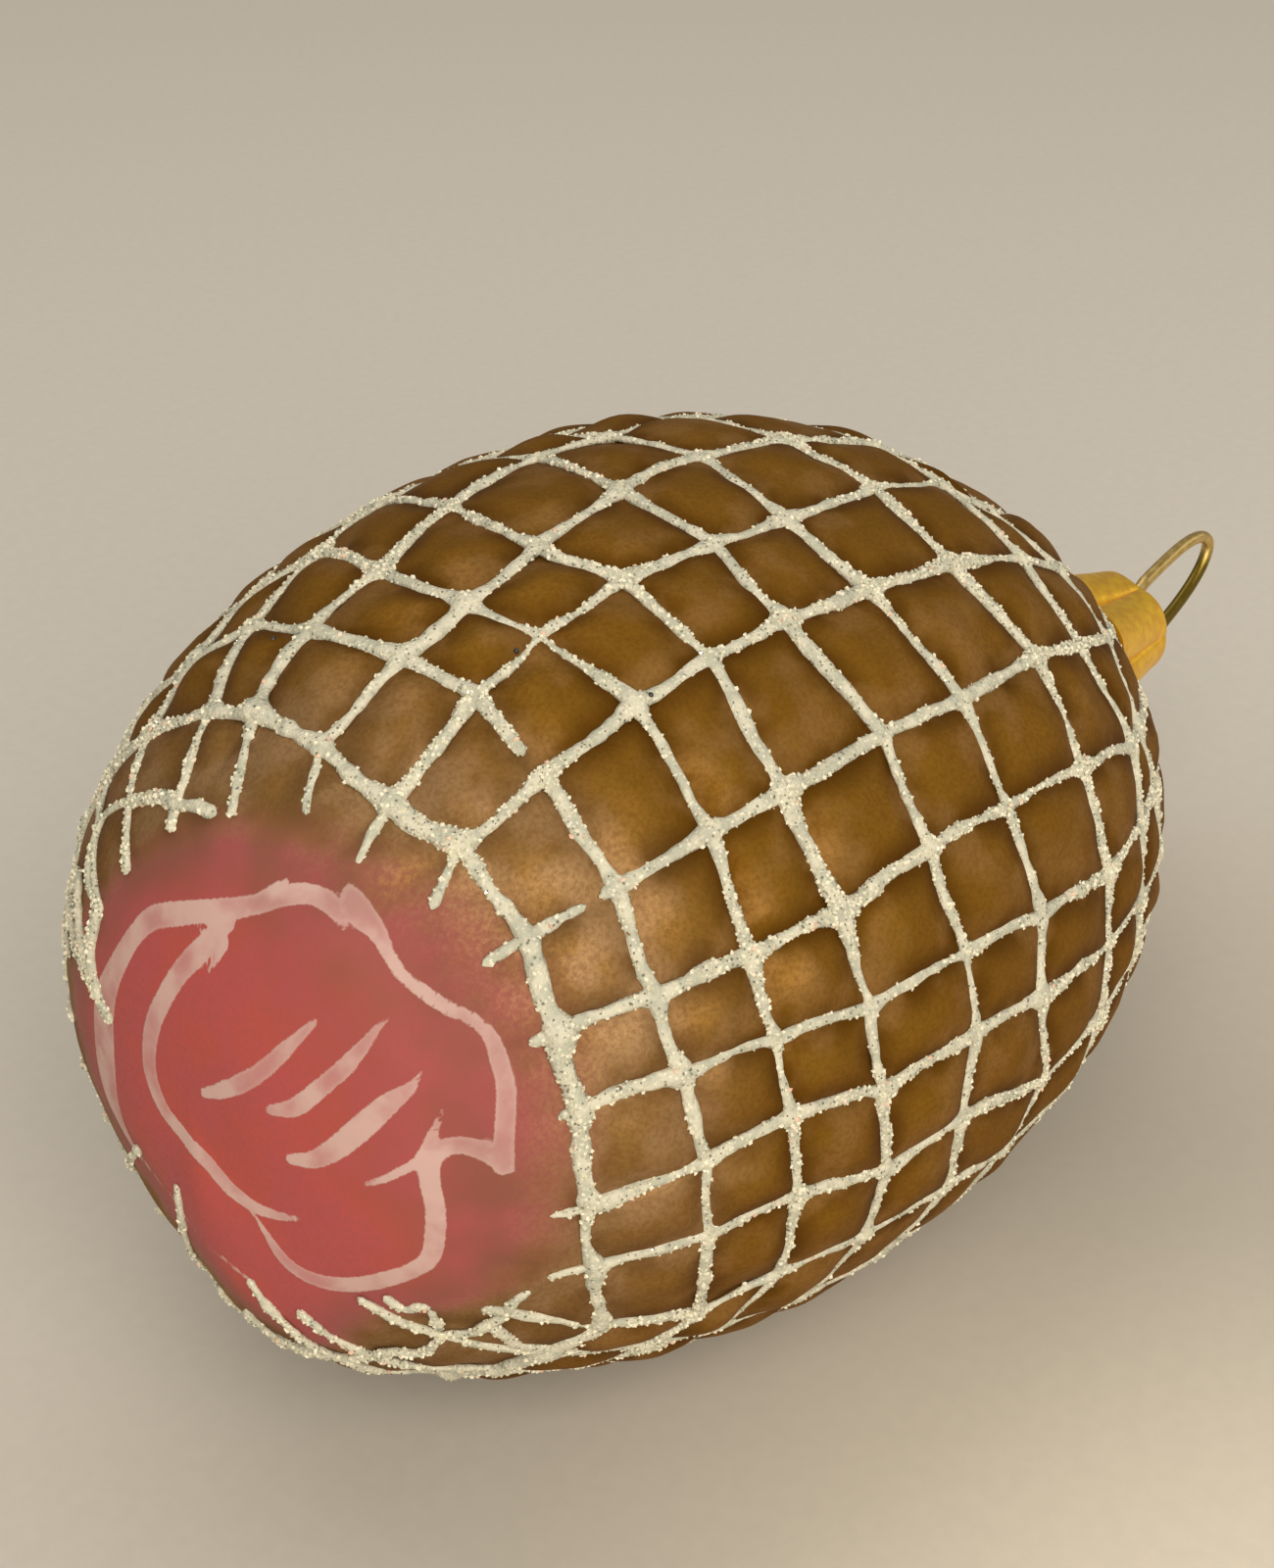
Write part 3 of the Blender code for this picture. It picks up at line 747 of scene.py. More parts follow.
def scatter_tree():
    """Scatters small grains over the outer side of beads, more of them where the paste crumbles."""
    wiring, given = geometry_tree("paste_grains", {
        "Grains per Area": 1.0e6, "Radius": 0.1 * MM, "Flatness": 1.0, "Calm": 0.0, "On Top": 1.0,
        "Seed": 1})
    outer = wiring.add("ShaderNodeVectorMath", {
        0: wiring.add("GeometryNodeInputNormal"), 1: wiring.stored("facing", "FLOAT_VECTOR"),
    }, "Value", operation="DOT_PRODUCT")
    outside = wiring.times(wiring.ramp(outer, 0.95, 0.3, given["On Top"], 1.0),
                           wiring.math("GREATER_THAN", outer, -0.1))
    crumbling = wiring.math("MAXIMUM", wiring.stored("crumbling"), given["Calm"])
    density = wiring.times(wiring.times(outside, crumbling), given["Grains per Area"])
    points = wiring.add("GeometryNodeDistributePointsOnFaces", {
        "Mesh": given["Geometry"], "Density": density, "Seed": given["Seed"]})
    grain = wiring.add("GeometryNodeMeshUVSphere", {"Radius": given["Radius"], "Segments": 5, "Rings": 2})
    squash = wiring.add("ShaderNodeCombineXYZ", {"X": 1.0, "Y": 1.0, "Z": given["Flatness"]})
    turn = wiring.add("FunctionNodeRandomValue", {
        0: (0.0, 0.0, 0.0), 1: (math.tau, math.tau, math.tau), "Seed": given["Seed"],
    }, data_type="FLOAT_VECTOR")
    size = wiring.add("FunctionNodeRandomValue", {2: 0.45, 3: 1.3, "Seed": given["Seed"]}, 1,
                      data_type="FLOAT")
    placed = wiring.add("GeometryNodeInstanceOnPoints", {
        "Points": points, "Rotation": turn, "Scale": size,
        "Instance": wiring.add("GeometryNodeTransform", {"Geometry": grain, "Scale": squash})})
    tone = wiring.add("FunctionNodeRandomValue", {2: 0.0, 3: 1.0, "Seed": given["Seed"]}, 1,
                      data_type="FLOAT")
    toned = wiring.add("GeometryNodeStoreNamedAttribute", {
        "Geometry": placed, "Name": "tone", "Value": tone}, data_type="FLOAT", domain="INSTANCE")
    return painted_tree(wiring, wiring.add("GeometryNodeRealizeInstances", {"Geometry": toned}), given)


# The glass ham
def drift(points, size, seed=0.0):
    """Smooth random numbers from about -1 to 1 over points, by features of this size."""
    offset = Vector((seed * 17.3, seed * 5.1, seed * 9.7))
    values = [noise.noise(Vector(point) / size + offset) for point in points.reshape(-1, 3)]
    return np.array(values).reshape(points.shape[:-1])


def cell_random(hoop, runner, seed):
    """One number from -1 to 1 for each cell of the net."""
    table = np.random.default_rng(seed).uniform(-1.0, 1.0, (HOOPS + 1, RUNNERS))
    return table[np.floor(hoop).astype(int) + 1, np.floor(runner).astype(int) % RUNNERS]


def pillow_height(hoop, runner, radius):
    """How far the glass bulges inside the cells of the net, in millimetres."""
    hoop, runner, radius = np.broadcast_arrays(hoop, runner, radius)
    across, along = runner % 1.0, hoop % 1.0
    height = np.minimum(PILLOW_HEIGHT, PILLOW_PER_WIDTH * 2.0 * np.pi * radius / RUNNERS)
    hump = (np.sin(np.pi * across) * np.sin(np.pi * along)) ** HUMP_FULLNESS
    slope = cell_random(hoop, runner, 3) * (across - 0.5) + cell_random(hoop, runner, 4) * (along - 0.5)
    uneven = 1.0 + PILLOW_SPREAD * cell_random(hoop, runner, 5) + PILLOW_SLOPE * slope
    return height * smooth_step(hoop / STUB_REACH + 1.0) * hump * uneven


def rows_between(start, end, shares):
    """Rows of places that lie between two rows."""
    return start + shares[:, None, None] * (end - start)


def make_ham_glass(net, beads, tracer):
    """The glass, with its pillows, and where its paints go, as distances in millimetres."""
    runner = np.arange(RUNNERS * CELL_COLUMNS) / CELL_COLUMNS
    hoop = np.arange((HOOPS - 1) * CELL_ROWS + 1) / CELL_ROWS
    middle = net_place(net, hoop[:, None], runner[None, :])
    first, last = middle[0], middle[-1]
    face_shares = np.linspace(0.0, 1.0, FACE_ROWS + 2)[1:-1]
    shoulder_shares = np.linspace(0.0, 1.0, SHOULDER_ROWS + 1)[1:]
    face = rows_between(first * (0.0, 1.0), first, face_shares)
    shoulder = rows_between(last, last * (0.0, 1.0) + (TRAVEL_END, 0.0), shoulder_shares)
    travel, angle = np.moveaxis(np.concatenate([face, middle, shoulder]), -1, 0)
    row_hoop = np.concatenate([face_shares - 1.0, hoop, np.full(SHOULDER_ROWS, HOOPS - 1.0)])
    rise = pillow_height(row_hoop[:, None], runner[None, :], outline_at(travel)[1])
    plain = ham_surface(travel, angle)
    dents = drift(plain, DENT_SIZE) + FINE_DENT_SHARE * drift(plain, FINE_DENT_SIZE, 1)
    rise = rise + DENT_DEPTH * dents * smooth_step((travel - DENTS_FROM) / DENTS_GROW_OVER)
    neck = [round_neck(station, NECK_RADIUS, np.radians(last[:, 1])) for station in (NECK_FOOT, NECK_END)]
    rings = np.concatenate([ham_surface(travel, angle, rise), neck])
    made = skin_rings("ham_glass", rings, (OUTLINE[0][0], 0.0, 0.0), round_neck(NECK_END, 0.0, 0.0))
    rest_on_floor(made)
    edge_travel, edge_angle, softness = pink_edge(tracer).T
    past = travel - np.interp(angle, edge_angle, edge_travel, period=360.0)
    inside = -past / np.interp(angle, edge_angle, softness, period=360.0)
    others = len(made.data.vertices) - past.size
    add_attribute(made, "past_pink", np.append(past, np.full(others, 99.0)))
    add_attribute(made, "inside_pink", np.append(inside, np.full(others, -9.0)))
    made.data.attributes["inside_pink"].data[len(made.data.vertices) - 2].value = 9.0
    points = mesh_points(made) / MM
    add_attribute(made, "line_gap", line_distance(points, beads))
    add_attribute(made, "stroke_depth", stroke_depth(points, tracer))
    return made


def pink_edge(tracer):
    """Rows of (travel, angle, softness) round the edge of the pink."""
    shown = [tracer.place(pixel[:2])[:2] + (pixel[2],) for pixel in PINK_EDGE_SHOWN]
    return np.array(shown + list(PINK_EDGE_HIDDEN))


def line_distance(points, beads):
    """Distance from each point to the edge of the nearest bead of paste."""
    middles = np.vstack([bead.points for bead in beads])
    halves = np.concatenate([bead.half_width for bead in beads])
    tree = kdtree.KDTree(len(middles))
    for index, middle in enumerate(middles):
        tree.insert(middle, index)
    tree.balance()
    found = [tree.find(point)[1:] for point in points]
    return np.array([distance - halves[index] for index, distance in found])


def stroke_depth(points, tracer):
    """How far each point is inside the brush strokes of white paint; less than zero outside."""
    depth = np.full(len(points), -9.0)
    near = points[:, 0] < in_frame((STROKES_END, 0.0, 0.0))[0] / MM
    for stroke in BRUSH_STROKES:
        path = []
        for x, y, width in stroke:
            place = tracer.place((x, y))
            if place is not None:
                middle = in_frame(ham_surface(place[0], place[1])) / MM
                path.append((*middle, width / 2.0 * place[2]))
        path = smooth_curve(path, 6)
        gaps = np.linalg.norm(points[near][:, None, :] - path[None, :, :3], axis=-1)
        depth[near] = np.maximum(depth[near], (path[None, :, 3] - gaps).max(axis=1))
    return depth


# The net of paste
class Bead:
    """One stroke of paste: even points in the row frame in millimetres, normals, half widths."""

    def __init__(self, places, half_width, knots=None):
        length = length_along(ham_surface(places[:, 0], places[:, 1]))
        count = max(int(length[-1] / BEAD_STEP), 5)
        along = np.linspace(0.0, length[-1], count + 1)
        travel, angle = (np.interp(along, length, places[:, axis]) for axis in range(2))
        half = np.interp(along, length, np.broadcast_to(half_width, length.shape))
        middles = ham_surface(travel, angle)
        radius = np.maximum(outline_at(travel)[1], 3.0)
        travel = travel + LINE_WOBBLE * drift(middles, WOBBLE_LENGTH, 2)
        angle = angle + np.degrees(LINE_WOBBLE * drift(middles, WOBBLE_LENGTH, 3) / radius)
        half = half * (1.0 + sum(strength * drift(middles, size, seed)
                                 for size, seed, strength in WIDTH_NOISE))
        if knots is not None:
            gaps = np.linalg.norm(middles[:, None] - knots[None], axis=-1).min(axis=1)
            swelling = KNOT_SWELLING * (1.0 + travel / TRAVEL_END)
            half = half * (1.0 + swelling * np.exp(-(gaps / KNOT_REACH) ** 2))
        to_end = np.minimum(along, along[-1] - along) / half
        half = half * np.sqrt(np.maximum(1.0 - (1.0 - np.minimum(to_end, 1.0)) ** 2, 0.04))
        self.crumbling = smooth_step(CRUMBLE_MIDDLE + CRUMBLE_RANGE * drift(middles, CRUMBLE_LENGTH, 6))
        self.normals = (in_frame(ham_normal(travel, angle)) - in_frame(np.zeros(3))) / MM
        self.points = in_frame(ham_surface(travel, angle, BEAD_LIFT)) / MM
        self.half_width = half


def net_knots(net):
    return ham_surface(net[..., 0], net[..., 1]).reshape(-1, 3)


def stretches(line, start, end, gaps):
    """The stretches from start to end of a hoop or runner, without its gaps."""
    for gap_line, gap_start, gap_end in gaps:
        if gap_line == line:
            yield start, gap_start
            start = gap_end
    yield start, end


def hoop_beads(net):
    beads = []
    for hoop in range(HOOPS):
        for start, end in stretches(hoop, HOOP_JOIN, HOOP_JOIN + RUNNERS + HOOP_OVERLAP, HOOP_GAPS):
            runner = np.arange(start, end, HOOP_STEP)
            thick = 1.0
            if hoop == 0:
                off_thick = (runner - RUNNERS - THICK_AT) / THICK_REACH
                thick = 1.0 + FIRST_HOOP_EXTRA + THICK_EXTRA * np.exp(-off_thick ** 2)
            places = net_place(net, float(hoop), runner)
            beads.append(Bead(places, BEAD_HALF_WIDTH * thick, net_knots(net)))
    return beads


def runner_beads(net, runners):
    beads = []
    for runner in runners:
        for start, end in stretches(runner, 0.0, HOOPS - 1.0, RUNNER_GAPS):
            hoop = np.minimum(np.arange(start, end + RUNNER_STEP / 2.0, RUNNER_STEP), HOOPS - 1.0)
            beads.append(Bead(net_place(net, hoop, float(runner)), BEAD_HALF_WIDTH, net_knots(net)))
    return beads


def inner_ring(tracer):
    """(travel, angle) along the inner ring, from its upper end round the hidden side to its lower."""
    above = tracer.places(INNER_RING_ABOVE)
    below = tracer.places(INNER_RING_BELOW)
    hidden = np.array(INNER_RING_HIDDEN)
    above[:, 1] -= 360.0 * round((above[-1, 1] - hidden[0, 1]) / 360.0)
    below[:, 1] -= 360.0 * round((below[0, 1] - hidden[-1, 1]) / 360.0)
    return smooth_curve(np.vstack([above, hidden, below]), 8)


def stub_beads(net, tracer):
    """The runners' short ends inside the first hoop, the inner ring and the odd strokes there."""
    beads = []
    loose = random.Random(8)
    for runner in range(RUNNERS):
        start = net_place(net, 0.0, float(runner))
        if runner in STUB_ENDS:
            end = tracer.places([STUB_ENDS[runner]])[0]
            end[1] += 360.0 * round((start[1] - end[1]) / 360.0)
        else:
            end = np.array((loose.uniform(*HIDDEN_STUB_ENDS), start[1] + loose.uniform(*HIDDEN_STUB_SWAY)))
        beads.append(Bead(np.linspace(start, end, 12), STUB_HALF_WIDTH))
    beads.append(Bead(inner_ring(tracer), STUB_HALF_WIDTH * INNER_RING_EXTRA))
    for stroke in ODD_STROKES:
        beads.append(Bead(smooth_curve(tracer.places(stroke), 8), STUB_HALF_WIDTH))
    return beads


def bead_paths(name, beads):
    """One mesh of loose paths for the bead tree, with what it reads along them."""
    points, edges = [], []
    for bead in beads:
        start = len(points)
        points += (bead.points * MM).tolist()
        edges += [(index, index + 1) for index in range(start, len(points) - 1)]
    made = plain_object(name, points, [], edges)
    add_attribute(made, "half_width", np.concatenate([bead.half_width for bead in beads]) * MM)
    add_attribute(made, "crumbling", np.concatenate([bead.crumbling for bead in beads]))
    add_attribute(made, "facing", np.vstack([bead.normals for bead in beads]))
    return made


def make_specks(tracer):
    """The few black specks of grit that are caught in the paste."""
    shape = bmesh.new()
    for pixel in SPECKS:
        travel, angle, _ = tracer.place(pixel)
        middle = in_frame(ham_surface(travel, angle, BEAD_LIFT + BEAD_FLATNESS * BEAD_HALF_WIDTH))
        bmesh.ops.create_icosphere(shape, subdivisions=2, radius=SPECK_RADIUS * MM,
                                   matrix=Matrix.Translation(Vector(middle)))
    made = shape_object("grit_specks", shape)
    made.data.shade_smooth()
    return made


# The cap and the loop
def lobe(angle, depth):
    """Cap radius as a share: lobes that meet in sharp creases, one of them bent outwards."""
    across = np.abs(np.sin(0.5 * CAP_LOBES * (angle - math.radians(CAP_CREASE_AT))))
    off_flare = (np.degrees(angle) - CAP_FLARE_AT + 180.0) % 360.0 - 180.0
    flare = CAP_FLARE * min(1.0, 2.5 * depth) * np.exp(-(off_flare / CAP_FLARE_SPREAD) ** 2)
    return 1.0 - CAP_CREASE_DEPTH * depth * (1.0 - across ** CAP_CREASE_SHARPNESS) + flare


def cap_rings(inset):
    """Rings from the crown's middle outwards: each has a height, a radius and a depth of creases."""
    top, crown, rim = CAP_HEIGHT - inset, CAP_CROWN_RADIUS - inset, CAP_RIM_RADIUS - inset
    rows = [(top + 0.12, 0.35 * crown, 0.0), (top + 0.08, 0.7 * crown, 0.0)]
    for share in np.linspace(0.0, 1.0, CAP_EDGE_STEPS + 1):
        turn = math.pi / 2.0 * share
        rows.append((top - CAP_EDGE_ROUND * (1.0 - math.cos(turn)),
                     crown - CAP_EDGE_ROUND * (1.0 - math.sin(turn)), 0.1 + 0.25 * share))
    for share in np.linspace(0.0, 1.0, CAP_SKIRT_ROWS + 1)[1:]:
        rows.append(((top - CAP_EDGE_ROUND) * (1.0 - share), crown + (rim - crown) * share ** 1.2,
                     0.35 + 0.65 * share))
    angle = np.arange(CAP_COLUMNS) * math.tau / CAP_COLUMNS
    return [round_neck(CAP_RIM_AT + height, radius * lobe(angle, depth), angle)
            for height, radius, depth in rows]


def loop_point(along, up):
    """A point of the loop's plane: along the cap's axis from the crown, and up from its middle."""
    turn = math.radians(LOOP_TURN)
    return round_neck(CAP_RIM_AT + CAP_HEIGHT, 0.0, 0.0) + (along, up * math.sin(turn), up * math.cos(turn))


def make_cap():
    rings = cap_rings(0.0) + cap_rings(CAP_SHEET)[::-1]
    crown = CAP_RIM_AT + CAP_HEIGHT + CAP_CROWN_DOME
    made = skin_rings("gold_cap", np.array(rings), round_neck(crown, 0.0, 0.0),
                      round_neck(crown - CAP_SHEET, 0.0, 0.0))
    for side in (1, -1):
        drill_leg_hole(made, loop_point(-CAP_SHEET / 2.0, side * LEG_SPACING / 2.0))
    made.data.set_sharp_from_angle(angle=math.radians(CAP_SHARP_ANGLE))
    return made


def drill_leg_hole(cap, middle):
    shape = bmesh.new()
    turn = Matrix.Rotation(math.radians(90.0 + CAP_END_DROP), 4, "Y")
    bmesh.ops.create_cone(shape, cap_ends=True, segments=HOLE_SIDES, depth=6.0 * CAP_SHEET * MM,
                          radius1=HOLE_RADIUS * MM, radius2=HOLE_RADIUS * MM,
                          matrix=Matrix.Translation(Vector(in_frame(middle))) @ turn)
    drill = shape_object("drill", shape)
    cut = cap.modifiers.new("drill", "BOOLEAN")
    cut.object = drill
    cut.operation = "DIFFERENCE"
    cut.solver = "EXACT"
    shown = cap.evaluated_get(bpy.context.evaluated_depsgraph_get())
    cap.data = bpy.data.meshes.new_from_object(shown)
    cap.modifiers.clear()
    bpy.data.objects.remove(drill, do_unlink=True)


def loop_path():
    """Centre line of the wire: up one leg, round the leaning loop and down the other leg."""
    leg, half = LEG_SPACING / 2.0, LOOP_WIDTH / 2.0
    lean = math.radians(LOOP_LEAN)
    bends = [(-LEG_BELOW_CROWN, leg), (0.2, leg), (LEG_STRAIGHT * 0.8, half)]
    for share, width in LOOP_BENDS:
        rise = share * LOOP_RISE
        out = width * half * math.cos(lean)
        bends.append((LEG_STRAIGHT + rise * math.cos(lean) - out * math.sin(lean),
                      rise * math.sin(lean) + out * math.cos(lean)
                      + width * half * math.sin(lean) ** 2 * (1.0 - share)))
    bends += [(LEG_STRAIGHT * 0.8, -half), (0.2, -leg), (-LEG_BELOW_CROWN, -leg)]
    return smooth_curve([loop_point(along, up) for along, up in bends], 12)


def make_wire_loop():
    """The wire, as round rings along its centre line, with how far along it each point is."""
    path = loop_path()
    turn = math.radians(LOOP_TURN)
    flat = np.array((0.0, math.cos(turn), -math.sin(turn)))
    sides = np.cross(flat, np.gradient(path, axis=0))
    sides /= np.linalg.norm(sides, axis=1, keepdims=True)
    steps = (np.arange(WIRE_SIDES) * math.tau / WIRE_SIDES)[None, :, None]
    rings = path[:, None] + WIRE_RADIUS * (np.cos(steps) * flat + np.sin(steps) * sides[:, None])
    made = skin_rings("wire_loop", rings, path[0], path[-1])
    along = np.linspace(0.0, 1.0, len(path))
    add_attribute(made, "along", np.append(np.repeat(along, WIRE_SIDES), (0.0, 1.0)))
    return made


# Finishes
class Finish(Wiring):
    """The wiring of a new material round its shader."""

    def __init__(self, name):
        self.material = bpy.data.materials.new(name)
        self.material.use_nodes = True
        super().__init__(self.material.node_tree)
        self.place = self.add("ShaderNodeTexCoord", output="Object")

    def mix(self, factor, first, second):
        return self.add("ShaderNodeMix", {0: factor, 6: first, 7: second}, 2, data_type="RGBA")

    def speckle(self, size, detail=2.0, roughness=0.5):
        """Soft random patches of this size in millimetres, from 0 to 1."""
        return self.add("ShaderNodeTexNoise", {
            "Vector": self.place, "Scale": 1.0 / (size * MM), "Detail": detail, "Roughness": roughness})

    def centred(self, value, width):
        """A value from 0 to 1, moved and scaled to run from -width / 2 to width / 2."""
        return self.times(self.minus(value, 0.5), width)

    def attribute(self, name):
        return self.add("ShaderNodeAttribute", output="Fac", attribute_name=name)

    def distance_to(self, point):
        return self.add("ShaderNodeVectorMath", {0: self.place, 1: point}, "Value", operation="DISTANCE")

    def bump(self, height, depth):
        return self.add("ShaderNodeBump", {"Height": height, "Distance": depth * MM, "Strength": 1.0})

    def shade(self, inputs):
        """Sets the shader's inputs and gives the material."""
        self.set(self.tree.nodes["Principled BSDF"], inputs)
        return self.material


def ham_paint():
    """Satin brown lacquer over silvered glass, darker beside the lines where lacquer pools and shade is
    painted in the creases, with a painted golden sheen near the face, a pink airbrushed face and white
    brush strokes.
    """
    paint = Finish("ham_paint")
    cloud, mist = paint.speckle(CLOUD_SIZE), paint.speckle(MIST_SIZE, 2.0, 0.7)
    streak = paint.speckle(STREAK_SIZE, 3.0, 0.5)

    # Darker beside the lines: pooled lacquer and painted shade in the creases
    gap = paint.plus(paint.attribute("line_gap"), paint.centred(cloud, 1.2))
    brown = paint.mix(paint.ramp(gap, -0.6, 1.9), BROWN_DARK_AND_SHADE, BROWN_MIDDLE)
    brown = paint.mix(paint.ramp(cloud, 0.45, 0.68, 0.0, 0.6), brown, BROWN_LIGHT)
    # Painted golden sheen near the face, in cloudy patches
    near_face = paint.ramp(paint.attribute("past_pink"), 14.0, 5.0)
    gold = paint.times(near_face, paint.ramp(cloud, 0.4, 0.62, 0.35, 0.85))
    brown = paint.mix(gold, brown, PAINTED_SHEEN_NEAR_FACE)
    brown = paint.mix(paint.ramp(mist, 0.35, 0.7, 0.0, 0.3), brown, BROWN_DARK_AND_SHADE)

    edge = paint.plus(paint.attribute("inside_pink"), paint.centred(mist, 1.6))
    edge = paint.plus(edge, paint.centred(cloud, 0.7))
    pink = paint.mix(paint.ramp(edge, 0.4, 5.0), PINK_EDGE, PINK_MIDDLE)
    pink = paint.mix(paint.ramp(cloud, 0.35, 0.65, 0.0, 0.5), pink, PINK_BLUSH)
    pink = paint.mix(paint.ramp(mist, 0.35, 0.7, 0.0, 0.25), pink, PINK_EDGE)
    pink_share = paint.ramp(edge, -1.2, 1.2)
    colour = paint.mix(pink_share, brown, pink)

    depth = paint.plus(paint.attribute("stroke_depth"), paint.centred(mist, 0.2))
    stroke, rim = paint.ramp(depth, -0.05, 0.06), paint.ramp(depth, 0.32, 0.05)
    white = paint.math("MAXIMUM", paint.ramp(streak, 0.36, 0.62), paint.times(rim, 0.7))
    cover = paint.times(stroke, paint.ramp(streak, 0.3, 0.6, 0.6, 0.9))
    colour = paint.mix(cover, colour, paint.mix(white, STROKE_PINK, STROKE_WHITE))
    metal = paint.ramp(pink_share, 0.0, 1.0, GLASS_METAL, PINK_METAL)
    relief = paint.plus(paint.times(mist, 0.35), paint.times(stroke, 0.8))
    return paint.shade({
        "Base Color": colour,
        "Metallic": paint.times(paint.minus(1.0, stroke), metal),
        "Specular IOR Level": LACQUER_SHINE,
        "Specular Tint": LACQUER_EDGE,
        "Roughness": paint.ramp(mist, 0.2, 0.8, 0.48, 0.60),
        "Normal": paint.bump(relief, 0.03),
    })


def grain_group():
    """Grainy paste: mottling, dark and bright grains and a height, from places and a grain size."""
    tree = bpy.data.node_groups.new("paste_grain", "ShaderNodeTree")
    add_inputs(tree, {"Place": "Vector", "Grains per Metre": "Float"})
    for label in ("Mottle", "Dark Grains", "Bright Grains", "Height"):
        tree.interface.new_socket(label, in_out="OUTPUT", socket_type="NodeSocketFloat")
    wiring = Wiring(tree)
    place, grains = wiring.node("NodeGroupInput").outputs[:2]
    mottle = wiring.add("ShaderNodeTexNoise", {
        "Vector": place, "Scale": wiring.times(grains, 0.22), "Detail": 3.0})
    cells = wiring.node("ShaderNodeTexVoronoi", {"Vector": place, "Scale": grains}).outputs
    red, green, _ = wiring.node("ShaderNodeSeparateColor", {"Color": cells["Color"]}).outputs
    middle = wiring.ramp(cells["Distance"], 0.55, 0.25)
    wiring.node("NodeGroupOutput", {
        "Mottle": mottle,
        "Dark Grains": wiring.times(wiring.ramp(red, 0.74, 0.95), middle),
        "Bright Grains": wiring.times(wiring.ramp(green, 0.62, 0.85), middle),
        "Height": wiring.minus(1.0, cells["Distance"]),
    })
    return tree


def paste_finish():
    """Pale matt paste, mottled and grainy."""
    paste = Finish("glitter_paste")
    grains = paste.node("ShaderNodeGroup", {
        "Place": paste.place, "Grains per Metre": 1.0 / (PASTE_GRAIN_SIZE * MM),
    }, node_tree=grain_group()).outputs
    colour = paste.mix(paste.ramp(grains["Mottle"], 0.38, 0.62), PASTE_SHADE, PASTE_LIGHT)
    colour = paste.mix(paste.times(grains["Dark Grains"], 0.85), colour, PASTE_DARK_GRAIN)
    return paste.shade({
        "Base Color": paste.mix(paste.times(grains["Bright Grains"], 0.7), colour, PASTE_BRIGHT_GRAIN),
        "Roughness": paste.ramp(grains["Bright Grains"], 0.0, 1.0, 0.8, 0.4),
        "Normal": paste.bump(grains["Height"], 0.06),
    })


def crumb_finish():
    """Glass crumbs in the paste: each has one tone of its own, and the pale ones glint."""
    crumb = Finish("glass_crumbs")
    tone = crumb.attribute("tone")
    tones = crumb.node("ShaderNodeValToRGB", {"Fac": tone})
    ramp = tones.color_ramp
    while len(ramp.elements) < len(CRUMB_TONES):
        ramp.elements.new(1.0)
    for element, (position, colour) in zip(ramp.elements, CRUMB_TONES):
        element.position = position
        element.color = colour
    shade = crumb.ramp(crumb.speckle(0.12, 2.0, 0.6), 0.4, 0.7, 0.0, 0.3)
    return crumb.shade({
        "Base Color": crumb.mix(shade, tones.outputs["Color"], PASTE_SHADE),
        "Roughness": crumb.ramp(tone, 0.5, 0.95, 0.75, 0.4),
    })


def speck_finish():
    """Black grit, slightly shiny."""
    grit = Finish("black_grit")
    dust = grit.ramp(grit.speckle(0.1, 2.0, 0.6), 0.4, 0.8, 0.0, 0.2)
    return grit.shade({"Base Color": grit.mix(dust, SPECK_BLACK, PASTE_SHADE), "Roughness": 0.4})


def flake_finish():
    """Tiny metal flakes whose colours differ from place to place."""
    flake = Finish("glitter_flake")
    place = flake.add("ShaderNodeVectorMath", {0: flake.place, 1: (FLAKES_PER_METRE,) * 3},
                      operation="MULTIPLY")
    hue = flake.add("ShaderNodeTexWhiteNoise", {"Vector": place}, "Color")
    return flake.shade({
        "Base Color": flake.mix(0.35, FLAKE_COLOUR, hue), "Metallic": 1.0, "Roughness": 0.18})


def gold_finish():
    """Stamped and lacquered gold sheet, mottled by its embossing."""
    sheet = Finish("gold_sheet")
    stamp, fine = sheet.speckle(STAMP_SIZE), sheet.speckle(0.25, 2.0, 0.6)
    return sheet.shade({
        "Base Color": sheet.mix(sheet.ramp(stamp, 0.3, 0.7), GOLD_DARK, GOLD_LIGHT),
        "Metallic": GOLD_METAL,
        "Roughness": sheet.ramp(fine, 0.3, 0.7, 0.30, 0.42),
        "Normal": sheet.bump(sheet.plus(stamp, sheet.times(fine, 0.5)), 0.025),
    })


def wire_finish():
    """Drawn brass wire with fine marks along it, its lower leg darkened by a painted dark reflection."""
    wire = Finish("brass_wire")
    marks = wire.speckle(WIRE_MARK_SIZE, 3.0, 0.6)
    colour = wire.mix(wire.ramp(marks, 0.35, 0.7), WIRE_DARK, WIRE_LIGHT)
    # painted dark reflection on the lower leg
    leg_reflection = wire.ramp(wire.attribute("along"), WIRE_REFLECTION_FROM, WIRE_REFLECTION_TO)
    return wire.shade({
        "Base Color": wire.mix(leg_reflection, colour, WIRE_PAINTED_REFLECTION),
        "Metallic": WIRE_METAL,
        "Roughness": wire.ramp(marks, 0.3, 0.7, 0.30, 0.42),
        "Normal": wire.bump(marks, 0.015),
    })


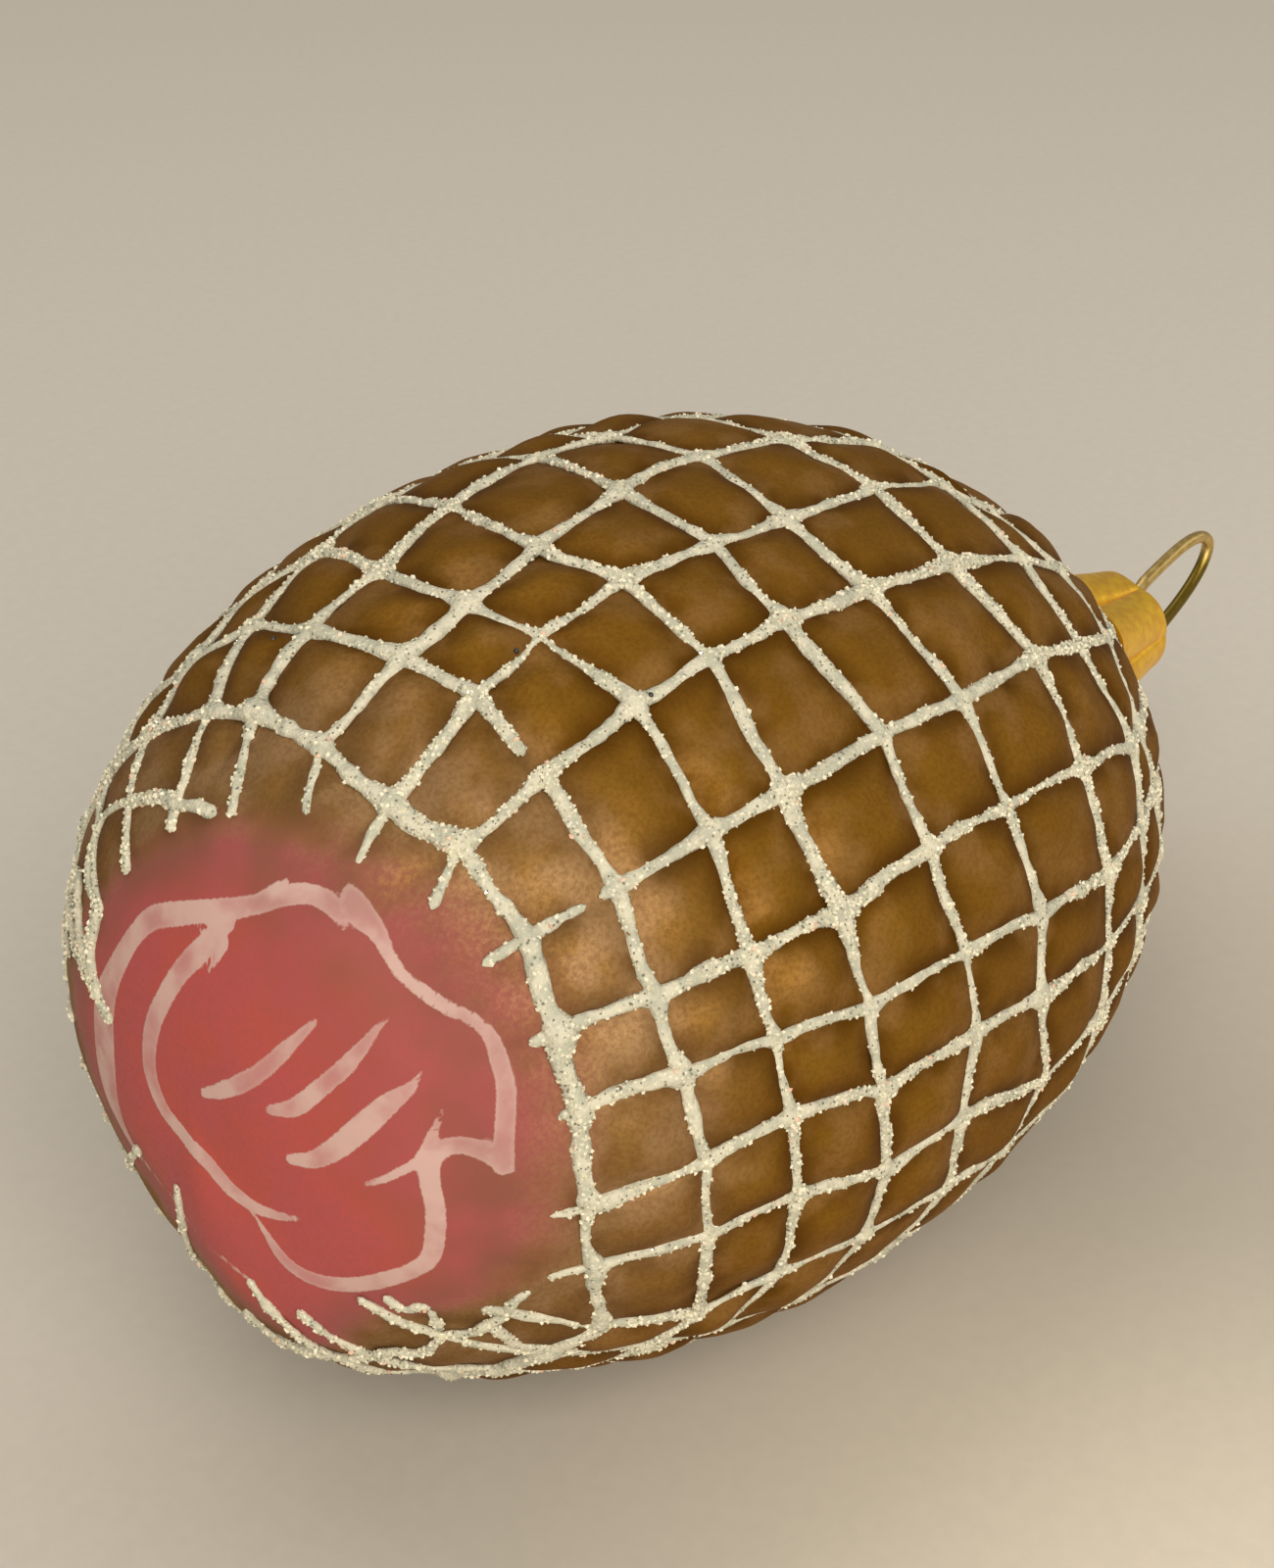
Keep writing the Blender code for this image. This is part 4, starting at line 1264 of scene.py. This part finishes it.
def floor_finish():
    """Pale paper, with a painted shadow that makes it greyer close to the ham and a painted pool of warm
    light in the corner nearest the camera.
    """
    paper = Finish("pale_paper")
    # painted shadow round the ham, fading into plain paper further out
    far = paper.ramp(paper.distance_to(FLOOR_SHADOW_AT), 0.0, FLOOR_SHADOW_RADIUS)
    # painted pool of warm light in the near corner
    light_pool = paper.ramp(paper.distance_to(FLOOR_LIGHT_AT), FLOOR_LIGHT_RADIUS, 0.0)
    colour = paper.mix(light_pool, paper.mix(far, FLOOR_PAINTED_SHADOW, FLOOR_FAR), FLOOR_PAINTED_LIGHT)
    grit = paper.ramp(paper.speckle(PAPER_GRIT_SIZE, 4.0, 0.6), 0.3, 0.7, 0.0, 0.06)
    return paper.shade({"Base Color": paper.mix(grit, colour, FLOOR_GRIT), "Roughness": 0.85})


# The studio
def make_stage():
    floor = plain_object("floor", FLOOR_CORNERS, [(0, 1, 2, 3)])
    floor.data.materials.append(floor_finish())


def light_studio():
    for name, place, size, power, colour in LAMPS:
        light = bpy.data.lights.new(name, "AREA")
        light.shape = "RECTANGLE"
        light.size, light.size_y = size
        light.energy = power
        light.color = colour
        turn = (Vector(place) - Vector(LAMP_TARGET)).to_track_quat("Z", "Y").to_matrix().to_4x4()
        add_object(name, light).matrix_world = Matrix.Translation(place) @ turn
    world = bpy.data.worlds.new("studio")
    world.use_nodes = True
    world.node_tree.nodes["Background"].inputs["Color"].default_value = WORLD_COLOUR
    world.node_tree.nodes["Background"].inputs["Strength"].default_value = WORLD_STRENGTH
    bpy.context.scene.world = world
    bpy.context.scene.view_settings.view_transform = "Standard"


def make_camera():
    lens = bpy.data.cameras.new("photograph")
    lens.sensor_fit = "HORIZONTAL"
    lens.sensor_width = SENSOR_WIDTH
    lens.lens = FOCAL_PIXELS / IMAGE_WIDTH * SENSOR_WIDTH
    lens.clip_start = 0.01
    camera = add_object("photograph", lens)
    camera.matrix_world = camera_matrix()
    bpy.context.scene.camera = camera


def finish_piece(piece, slot, *nodes, material=None):
    """Gives a piece its material, rides it on the ornament and hides the CAD parts that it stands for."""
    if material is not None:
        piece.data.materials.clear()
        piece.data.materials.append(material)
    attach(piece, "root")
    if nodes:
        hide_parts(*nodes)


def main():
    make_camera()
    tracer = HamTracer(PASTE_TOP)
    net = photographed_net(tracer)
    beads = {
        "net_hoops": hoop_beads(net),
        "net_runners_near": runner_beads(net, range(0, NEAR_RUNNERS)),
        "net_runners_far": runner_beads(net, range(NEAR_RUNNERS, RUNNERS)),
        "net_ends": stub_beads(net, tracer),
    }
    every_bead = [bead for group in beads.values() for bead in group]
    glass = make_ham_glass(net, every_bead, tracer)
    finish_piece(glass, "painted_glass", "glass_body", material=ham_paint())
    paste, grains, flakes = paste_finish(), crumb_finish(), flake_finish()
    sweep, scatter = bead_tree(), scatter_tree()
    swept = []
    for name, group in beads.items():
        paths = bead_paths(name + "_paths", group)
        swept.append(grow(paths, sweep, name, {"Material": paste}))
        bpy.data.objects.remove(paths, do_unlink=True)
    for seed, (bead, name) in enumerate(zip(swept, ("hoops", "near", "far", "ends")), 1):
        crumbs = grow(bead, scatter, "crumbs_" + name, {"Material": grains, "Seed": seed, **CRUMBS})
        glitter = grow(bead, scatter, "glitter_" + name,
                       {"Material": flakes, "Seed": seed + GLITTER_SEED, **GLITTER})
        for piece in (bead, crumbs, glitter):
            rest_on_floor(piece)
            finish_piece(piece, "painted_glass")
    finish_piece(make_specks(tracer), "painted_glass", material=speck_finish())
    finish_piece(make_cap(), "gold_cap", "cap", material=gold_finish())
    finish_piece(make_wire_loop(), "brass_wire", "hanging_loop", material=wire_finish())
    make_stage()
    light_studio()


main()
